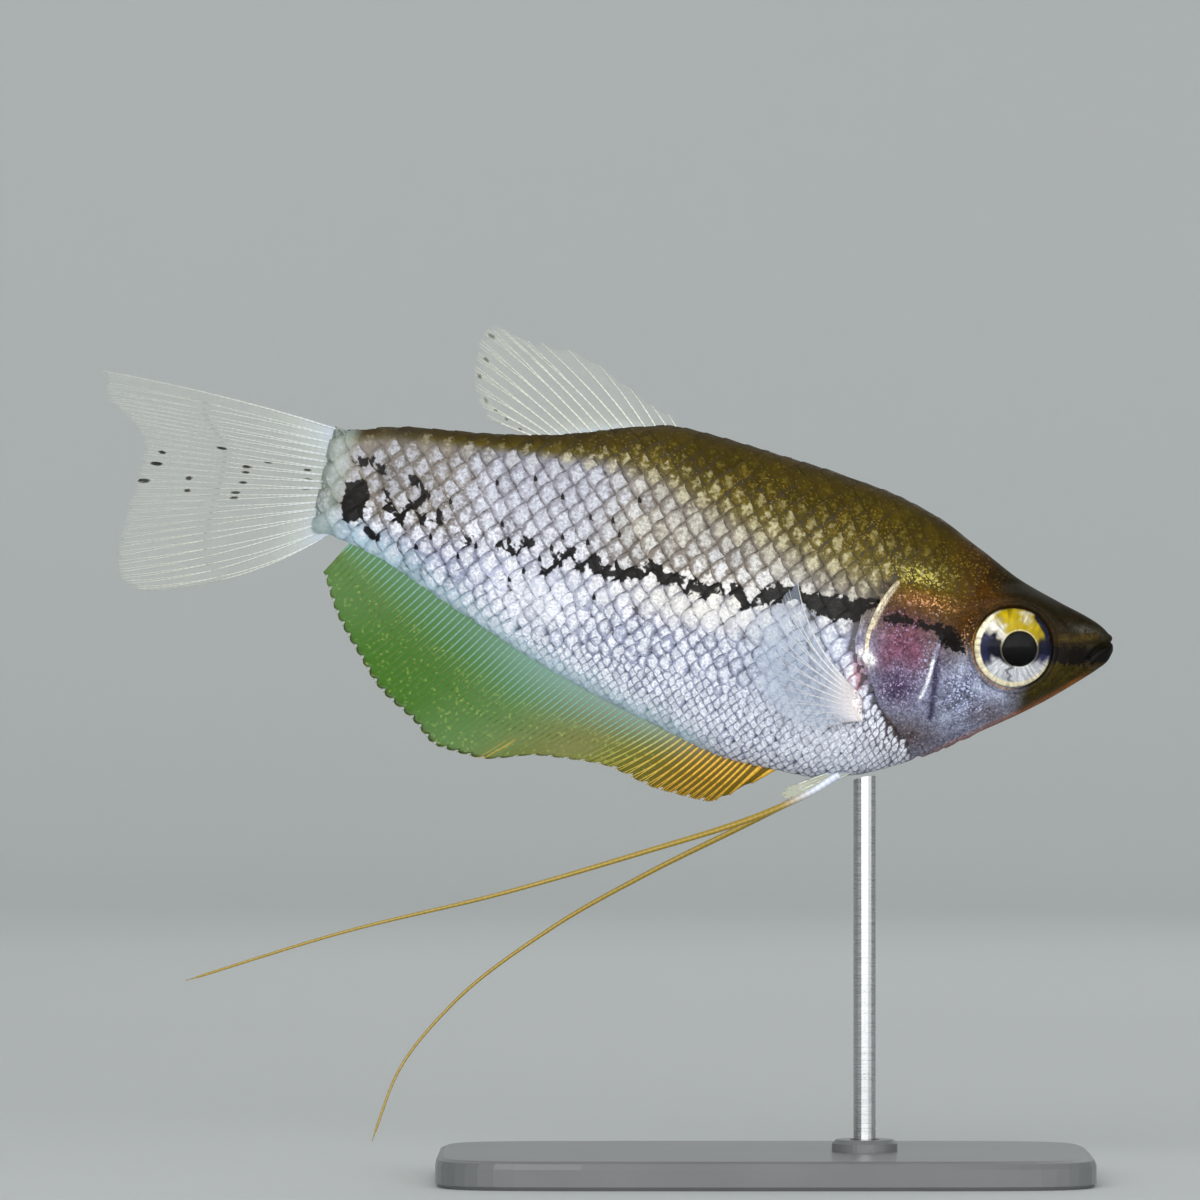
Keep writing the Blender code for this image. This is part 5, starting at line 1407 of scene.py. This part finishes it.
def specks(strength, places):
    """Rule for a fin's black specks: one inside an ellipse of (share, share, reach, reach), with a faded
    edge."""
    def rule(u, v):
        best = np.zeros(np.shape(u))
        for middle_u, middle_v, reach_u, reach_v in places:
            away = np.hypot((u - middle_u) / reach_u, (v - middle_v) / reach_v)
            best = np.maximum(best, fade(away, 1.3, 0.6))
        return strength * best
    return rule


def clear_paint(u, v, root_dense=0.8, clear=0.06, root_share=0.1):
    """Clear fin skin, paler and denser towards its scaly root."""
    near = bell(v, 0, root_share)
    paint = layered(plain("fin_clear", u), ("blue_white", near))
    return with_alpha(paint, clear + (root_dense - clear) * near)


def clear_rays(u, v):
    """Pale rays, a little clearer towards their tips."""
    return with_alpha(plain("ray_pale", u), 0.95 - 0.35 * fade(v, 0.4, 1.0))


def tail_paint(u, v):
    """Clear skin of the tail fin, whose dense root reaches further out along both edges."""
    return clear_paint(u, v, 0.8, 0.06, 0.1 + 0.13 * np.abs(2 * u - 1) ** 1.5)


def tail_rays(u, v):
    """Rays of the tail fin, which fade towards its margin except in the lower lobe."""
    paint = layered(plain("ray_pale", u), ("blue_white", np.exp(-v / 0.2)))
    return with_alpha(paint, 0.95 - 0.7 * fade(v, 0.15, 0.7) * (1 - 0.7 * fade(u, 0.7, 0.85)))


def anal_paint(u, v):
    """Anal fin skin: amber at the front, olive in the middle and clear green at the rear, with a turquoise
    root and a dark margin."""
    rear = fade(u, 0.5, 0.75)
    paint = layered(plain("amber", u), ("fin_olive", fade(u, 0.1, 0.28)), ("fin_green", fade(u, 0.33, 0.55)),
                    ("turquoise", (0.4 - 0.25 * rear) * bell(v, 0, 0.24) * fade(u, 0.08, 0.3)),
                    ("fin_margin", 0.9 * fade(v, 0.95, 0.98) * fade(u, 0.1, 0.25)))
    dense = 0.93 - 0.02 * rear
    dense = dense + (0.94 - dense) * np.exp(-v / 0.14)
    return with_alpha(paint, dense + 0.2 * fade(v, 0.93, 0.985))


def anal_rays(u, v):
    """Rays of the anal fin: bright amber in front, then pale turquoise at the root and faint outside. One
    amber ray shows again where the fin's margin is lowest."""
    bright = bell(u, 0.445, 0.008) * fade(v, 0.6, 0.8)
    paint = layered(plain("amber_ray", u), ("amber", 0.45 * fade(v, 0.45, 1.0) * fade(u, 0.3, 0.1)),
                    ("fin_glint", 0.7 * fade(u, 0.14, 0.3)),
                    ("sea_ray", fade(u, 0.14, 0.34) * fade(v, 0.6, 0.3)),
                    ("fin_green", 0.65 * fade(u, 0.22, 0.4) * fade(v, 0.25, 0.5)), ("amber_ray", bright))
    return with_alpha(paint, 0.95 - 0.65 * fade(u, 0.16, 0.36) * fade(v, 0.35, 0.65) * (1 - bright))


def anal_specks(u, v):
    """Dark beads along the anal fin's margin, one at each ray tip."""
    bead = 0.6 + 0.4 * np.sin(u * 2 * math.pi * (ANAL_RAYS - 1))
    return 0.6 * fade(v, 0.97, 0.99) * fade(u, 0.2, 0.4) * bead


def flat_wave(amount, turns, start):
    """Sideways stand of a middle fin: a sine of its base share that grows with its length's square."""
    return lambda u, v, flat: amount * MM * np.sin(turns * u + start) * v ** 2


def line_root(base, outline):
    """Rule for a fin's root along a stretch of the body's outline."""
    def rule(u):
        s = base[0] + (base[1] - base[0]) * u
        return np.stack([s, smooth_curve(outline, s)], -1)
    return rule


def caudal_root(u):
    """Root of the tail fin, upright across the body's end."""
    h = CAUDAL_BASE[0] + (CAUDAL_BASE[1] - CAUDAL_BASE[0]) * u
    return np.stack([np.full(np.shape(h), BODY_LENGTH), h], -1)


def fin_kit(**own):
    """Settings of one fin: those that the fins share, with its own over them."""
    return {"ray_radius": sizes().ray, "sink": 0.8 * MM, "root_half": 0.1 * MM, "root_reach": 0.6 * MM,
            "stout": np.ones_like, "glint": 0.0, "slot": "clear_fin", "paint": clear_paint,
            "ray_paint": clear_rays, "specks": specks(0.0, ()), **own}


def middle_fins():
    """The three unpaired fins, with the solids' outlines, waves and bends."""
    return {
        "dorsal": fin_kit(
            root=line_root(DORSAL_BASE, BACK_LINE), margin=DORSAL_MARGIN, rays=DORSAL_RAYS, grid=(225, 30),
            spines=6, forks=(0.45, 0.72), split=0.13, notch=0.55 * MM,
            bend=lambda u: 0.2 * MM * np.sin(math.pi * u), out=flat_wave(0.5, 5.0, 0.0),
            specks=specks(0.7, DORSAL_SPECKS)),
        "anal": fin_kit(
            root=line_root(ANAL_BASE, BELLY_LINE), margin=ANAL_MARGIN, rays=ANAL_RAYS, grid=(420, 26),
            spines=2, forks=(0.0, 0.6), split=0.25, notch=0.42 * MM, glint=1.0, slot="amber_fin",
            stout=lambda u: 1.5 + 0.6 * fade(u, 0.3, 0.1), bend=lambda u: -0.25 * MM * np.sin(math.pi * u),
            out=flat_wave(0.6, 11.0, 0.6), paint=anal_paint, ray_paint=anal_rays, specks=anal_specks),
        "caudal": fin_kit(
            root=caudal_root, margin=CAUDAL_MARGIN, rays=CAUDAL_RAYS, grid=(260, 60),
            spines=1, forks=(0.03, 0.6), split=0.24, notch=0.35 * MM,
            bend=lambda u: MM * smooth_curve(CAUDAL_BEND, u), out=flat_wave(0.9, 4.4, -1.2),
            paint=tail_paint, ray_paint=tail_rays, specks=specks(0.9, CAUDAL_SPECKS)),
    }


def pectoral_fin(word, side):
    """Pectoral fin of one side, which stands off the flank by its flare."""
    def root(u):
        return PECTORAL_BASE[0] + (PECTORAL_BASE[1] - PECTORAL_BASE[0]) * np.asarray(u)[..., None]

    def out(u, v, flat):
        away = -0.1 * MM + 0.5 * MM * fade(v, 0.0, 0.12) + PECTORAL_FLARE[word] * v.clip(0) ** 1.2
        return side * (flank_width(flat[..., 0], flat[..., 1]) + away)

    def paint(u, v):
        near = bell(v, 0, 0.28)
        skin = layered(plain("blue_white", u), ("lobe", near))
        return with_alpha(skin, 0.13 + 0.1 * fade(u, 0.15, 0.7) + 0.75 * near)

    def ray_paint(u, v):
        return with_alpha(plain("white", u), fade(v, 0.05, 0.2) * (0.9 - 0.65 * fade(v + 0.8 * u, 0.4, 1.2)))

    return fin_kit(root=root, margin=PECTORAL_MARGIN, rays=PECTORAL_RAYS, grid=(160, 40), spines=1,
                   forks=(0.4, 0.7), split=0.2, notch=0.35 * MM, out=out, paint=paint, ray_paint=ray_paint,
                   bend=lambda u: MM * smooth_curve(PECTORAL_BEND, u), ray_radius=0.85 * sizes().ray,
                   sink=0.3 * MM, root_half=0.12 * MM, root_reach=0.8 * MM)


def pelvic_fin(side):
    """Short soft rays of the pelvic fin of one side."""
    def root(u):
        s = PELVIC_ROOTS[0] + (PELVIC_ROOTS[1] - PELVIC_ROOTS[0]) * np.asarray(u)
        return np.stack([s, belly_height(s, PELVIC_SIDE)], -1)

    return fin_kit(root=root, margin=PELVIC_MARGIN, rays=PELVIC_RAYS, grid=(60, 16), spines=0,
                   forks=(0.4, 0.7), split=0.2, notch=0.5 * MM, bend=np.zeros_like, slot="feeler",
                   out=lambda u, v, flat: np.full(np.shape(u), side * PELVIC_SIDE),
                   paint=lambda u, v: clear_paint(u, v, 0.95, 0.4), ray_radius=0.8 * sizes().ray,
                   sink=0.5 * MM, root_half=0.2 * MM, root_reach=0.8 * MM)


def make_feeler(word, side):
    """One long pelvic feeler: a tapered tube along its route, pale at its root and golden after it."""
    path = smooth_path(FEELER_ROUTES[word], 0.25 * MM) * (1, 1, side)
    share = np.linspace(0, 1, len(path))
    kit = sizes()
    along = share * np.linalg.norm(np.diff(path, axis=0), axis=1).sum()
    radius = kit.feeler_tip + (kit.feeler_root - kit.feeler_tip) * (1 - share) ** 1.4
    radius = radius * (1 + 0.3 * np.exp(-along / (1.2 * MM)))
    radius = radius * (1 - 0.75 * fade(share, 0.97, 1.0))
    points, faces = tube_shells(path[None], radius[None], FEELER_SIDES)
    paint = with_alpha(layered(plain("feeler_gold", share), ("feeler_root", fade_mm(along, 5.5, 1.5))),
                       np.ones(len(path)))
    fields = {"ground": np.repeat(paint, FEELER_SIDES, axis=0), "along": np.repeat(along, FEELER_SIDES)}
    piece = new_piece("feeler_" + word, points, faces, "bony_fin_ray", fields)
    place(piece, "feeler", *(f"pelvic_feeler_{word}_{number}" for number in (1, 2, 3)))


def make_gill_rim(word, side):
    """Soft pale rim along the gill cover's free edge: a flat tube that follows the gill line."""
    line = smooth_path(GILL_LINE, 0.12 * MM)
    line = line[(line[:, 1] < 1.9 * MM) & (line[:, 1] > -9.4 * MM)]
    share = np.linspace(0, 1, len(line))
    width = 0.15 * MM * np.sqrt(np.clip(1 - (2 * share - 1) ** 6, 0.01, 1))
    width = width + 0.09 * MM * bell_mm(line[:, 1], -2.6, 1.6)
    width = (width + 0.26 * MM * bell_mm(line[:, 1], -4.45, 0.4))[:, None]
    run = np.gradient(line, axis=0)
    run /= np.linalg.norm(run, axis=1)[:, None]
    turn = circle(RIM_SIDES)[None, :]
    s = line[:, 0:1] - run[:, 1:2] * width * np.cos(turn)
    h = line[:, 1:2] + run[:, 0:1] * width * np.cos(turn)
    y = flank_width(s, h) + 0.07 * MM + 0.09 * MM * np.sin(turn)
    grid = np.stack([s, h, side * y], -1)
    s, h = s.ravel(), h.ravel()
    # The white bell about 4.45 mm down is a painted highlight on the rim's bulge
    ground = layered(ground_colour(s, h), ("rim_cream", fade_mm(h, -5.4, -4.7) * fade_mm(h, 1.9, 0.9)),
                     ("white", bell_mm(h, -4.45, 0.6)), ("throat", fade_mm(h, -7.5, -9)))
    fields = {"ground": ground, "painted_glints": np.zeros((len(s), 4)), "black": black_depth(s, h) - 0.25 * MM}
    place(closed_piece("gill_rim_" + word, grid, "wet_fish_skin", fields), "head_skin")


def make_lobe(word, side):
    """Fleshy lobe at the pectoral fin's base: an oval dome on the flank, closed by a flat oval under it.

    A dome point stands over the flank by its height times the root of one minus its share squared.
    """
    share = np.concatenate([np.linspace(0.03, 1, LOBE_RINGS), np.linspace(0.8, 0.05, 4)])[:, None]
    turn = circle(LOBE_AROUND)[None, :]
    along, across = share * np.cos(turn) * LOBE_REACH[0], share * np.sin(turn) * LOBE_REACH[1]
    s = LOBE_MIDDLE[0] + along * math.cos(LOBE_LEAN) - across * math.sin(LOBE_LEAN)
    h = LOBE_MIDDLE[1] + along * math.sin(LOBE_LEAN) + across * math.cos(LOBE_LEAN)
    dome = LOBE_HEIGHT * np.sqrt(1 - share ** 2) - 0.12 * MM
    stand = np.where(np.arange(len(share))[:, None] < LOBE_RINGS, dome, -0.35 * MM)
    grid = np.stack([s, h, side * (flank_width(s, h) + stand)], -1)
    fields = skin_fields(s.ravel(), h.ravel(), 0.4)
    inside = np.repeat(fade(share[:, 0], 1.02, 0.85), LOBE_AROUND)
    fields["ground"] = layered(fields["ground"], ("lobe", inside))
    place(closed_piece("pectoral_lobe_" + word, grid, "wet_fish_skin", fields), "head_skin")


def make_stage():
    """Floor that curves up into a round wall, six soft lamps, an even pale sky and the level camera.

    The floor's profile is flat to its radius, then a quarter circle up to a straight wall.
    """
    scene = bpy.context.scene
    flat, bend = sizes().floor_radius, WALL_BEND
    turn = np.linspace(0, math.pi / 2, 16)[1:]
    radius = np.concatenate([np.linspace(0.01, flat, 12), flat + bend * np.sin(turn), [flat + bend] * 4])
    height = np.concatenate([np.zeros(12), bend * (1 - np.cos(turn)), bend + np.linspace(0.1, 0.6, 4)])
    angle = circle(FLOOR_AROUND)
    points = np.stack([radius[:, None] * np.cos(angle), radius[:, None] * np.sin(angle),
                       height[:, None] + 0 * angle], -1).reshape(-1, 3)
    faces = grid_faces(len(radius), FLOOR_AROUND, wrap=True).tolist() + [list(range(FLOOR_AROUND))[::-1]]
    floor_material()
    new_piece("floor", points, faces, "matt_board")
    for name, where, target, across, power in LAMPS:
        data = bpy.data.lights.new(name, "AREA")
        data.shape, data.size, data.energy = "DISK", across, power
        lamp = bpy.data.objects.new(name, data)
        lamp.location = where
        lamp.rotation_euler = look_along(np.array(target) - np.array(where))
        lamp.visible_camera = False
        scene.collection.objects.link(lamp)
    scene.world = bpy.data.worlds.new("studio")
    scene.world.use_nodes = True
    background = scene.world.node_tree.nodes["Background"].inputs
    background["Color"].default_value = (*linear("E8ECF0"), 1)
    background["Strength"].default_value = 0.32
    scene.view_settings.view_transform = "Standard"
    make_camera()


def look_along(aim):
    """Euler turn that points an object's -Z along the aim, with +Y up."""
    flat = math.hypot(aim[0], aim[1])
    return (math.atan2(flat, -aim[2]), 0.0, math.atan2(-aim[0], aim[1]))


def make_camera():
    """Level camera that looks along +Y, with the photograph's frame in the fish's middle plane."""
    data = bpy.data.cameras.new("camera")
    data.lens, data.sensor_width = LENS, SENSOR
    data.clip_start, data.clip_end = 0.01, 10.0
    camera = bpy.data.objects.new("camera", data)
    middle = FRAME_PIXELS / 2
    x = SNOUT_AHEAD + (middle - SNOUT_PIXEL[0]) * PIXEL
    z = SNOUT_HEIGHT + (SNOUT_PIXEL[1] - middle) * PIXEL
    camera.location = (x, -FRAME_PIXELS * PIXEL * LENS / SENSOR, z)
    camera.rotation_euler = (math.pi / 2, 0, 0)
    bpy.context.scene.collection.objects.link(camera)
    bpy.context.scene.camera = camera


class GOURAMI_OT_stage(bpy.types.Operator):
    """Floor, lamps, world and camera."""

    bl_idname = "gourami.stage"
    bl_label = "Stage"

    def execute(self, context):
        make_stage()
        return {"FINISHED"}


class GOURAMI_OT_skin(bpy.types.Operator):
    """One skin over head, trunk and tail stem, with the rims of the gill covers and the fins' lobes."""

    bl_idname = "gourami.skin"
    bl_label = "Skin"

    def execute(self, context):
        skin_material()
        make_skin(flank_sheet())
        for word, side in SIDES:
            make_gill_rim(word, side)
            make_lobe(word, side)
        return {"FINISHED"}


class GOURAMI_OT_scales(bpy.types.Operator):
    """Scales of both flanks, and small ones of both cheeks."""

    bl_idname = "gourami.scales"
    bl_label = "Scales"

    def execute(self, context):
        table = girth_table(flank_sheet())
        scale_material()
        for word, _ in SIDES:
            flank_scales(table, word)
            cheek_scales(table, word)
        return {"FINISHED"}


class GOURAMI_OT_eyes(bpy.types.Operator):
    """Both eyes with cornea and the fold of skin round them."""

    bl_idname = "gourami.eyes"
    bl_label = "Eyes"

    def execute(self, context):
        iris_material()
        cornea_material()
        for word, side in SIDES:
            make_eye(word, side)
            make_eye_fold(word, side)
        return {"FINISHED"}


class GOURAMI_OT_fins(bpy.types.Operator):
    """All fins with their rays, and the feelers."""

    bl_idname = "gourami.fins"
    bl_label = "Fins and feelers"

    def execute(self, context):
        membrane_material()
        ray_material()
        for name, fin in middle_fins().items():
            make_fin(name, "", fin)
        for word, side in SIDES:
            make_fin("pectoral", "_" + word, pectoral_fin(word, side))
            make_fin("pelvic", "_" + word, pelvic_fin(side))
            make_feeler(word, side)
        return {"FINISHED"}


class GOURAMI_OT_stand(bpy.types.Operator):
    """Finishes of the stand's base and rod."""

    bl_idname = "gourami.stand"
    bl_label = "Stand"

    def execute(self, context):
        base_material()
        rod_material()
        for name, material in (("stand_base", "stoved_enamel"), ("stand_rod", "brushed_steel")):
            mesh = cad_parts[name].data
            mesh.materials.clear()
            mesh.materials.append(bpy.data.materials[material])
        return {"FINISHED"}


class GOURAMI_PT_panel(bpy.types.Panel):
    """Sidebar panel with every step of the model."""

    bl_label = "Pearl gourami"
    bl_idname = "GOURAMI_PT_panel"
    bl_space_type = "VIEW_3D"
    bl_region_type = "UI"
    bl_category = "Gourami"

    def draw(self, context):
        for step in STEPS:
            self.layout.operator(step.bl_idname)


STEPS = (GOURAMI_OT_stage, GOURAMI_OT_skin, GOURAMI_OT_scales, GOURAMI_OT_eyes, GOURAMI_OT_fins,
         GOURAMI_OT_stand)
CLASSES = (GouramiSizes, GouramiColours, *STEPS, GOURAMI_PT_panel)


def register():
    """Add the classes and the two groups of settings."""
    for cls in CLASSES:
        bpy.utils.register_class(cls)
    bpy.types.Scene.gourami_sizes = bpy.props.PointerProperty(type=GouramiSizes)
    bpy.types.Scene.gourami_colours = bpy.props.PointerProperty(type=GouramiColours)


def unregister():
    """Remove the groups of settings and the classes."""
    del bpy.types.Scene.gourami_sizes
    del bpy.types.Scene.gourami_colours
    for cls in reversed(CLASSES):
        bpy.utils.unregister_class(cls)


def main():
    """Run every step in order."""
    register()
    bpy.ops.gourami.stage()
    bpy.ops.gourami.skin()
    bpy.ops.gourami.scales()
    bpy.ops.gourami.eyes()
    bpy.ops.gourami.fins()
    bpy.ops.gourami.stand()


if __name__ == "__main__":
    main()
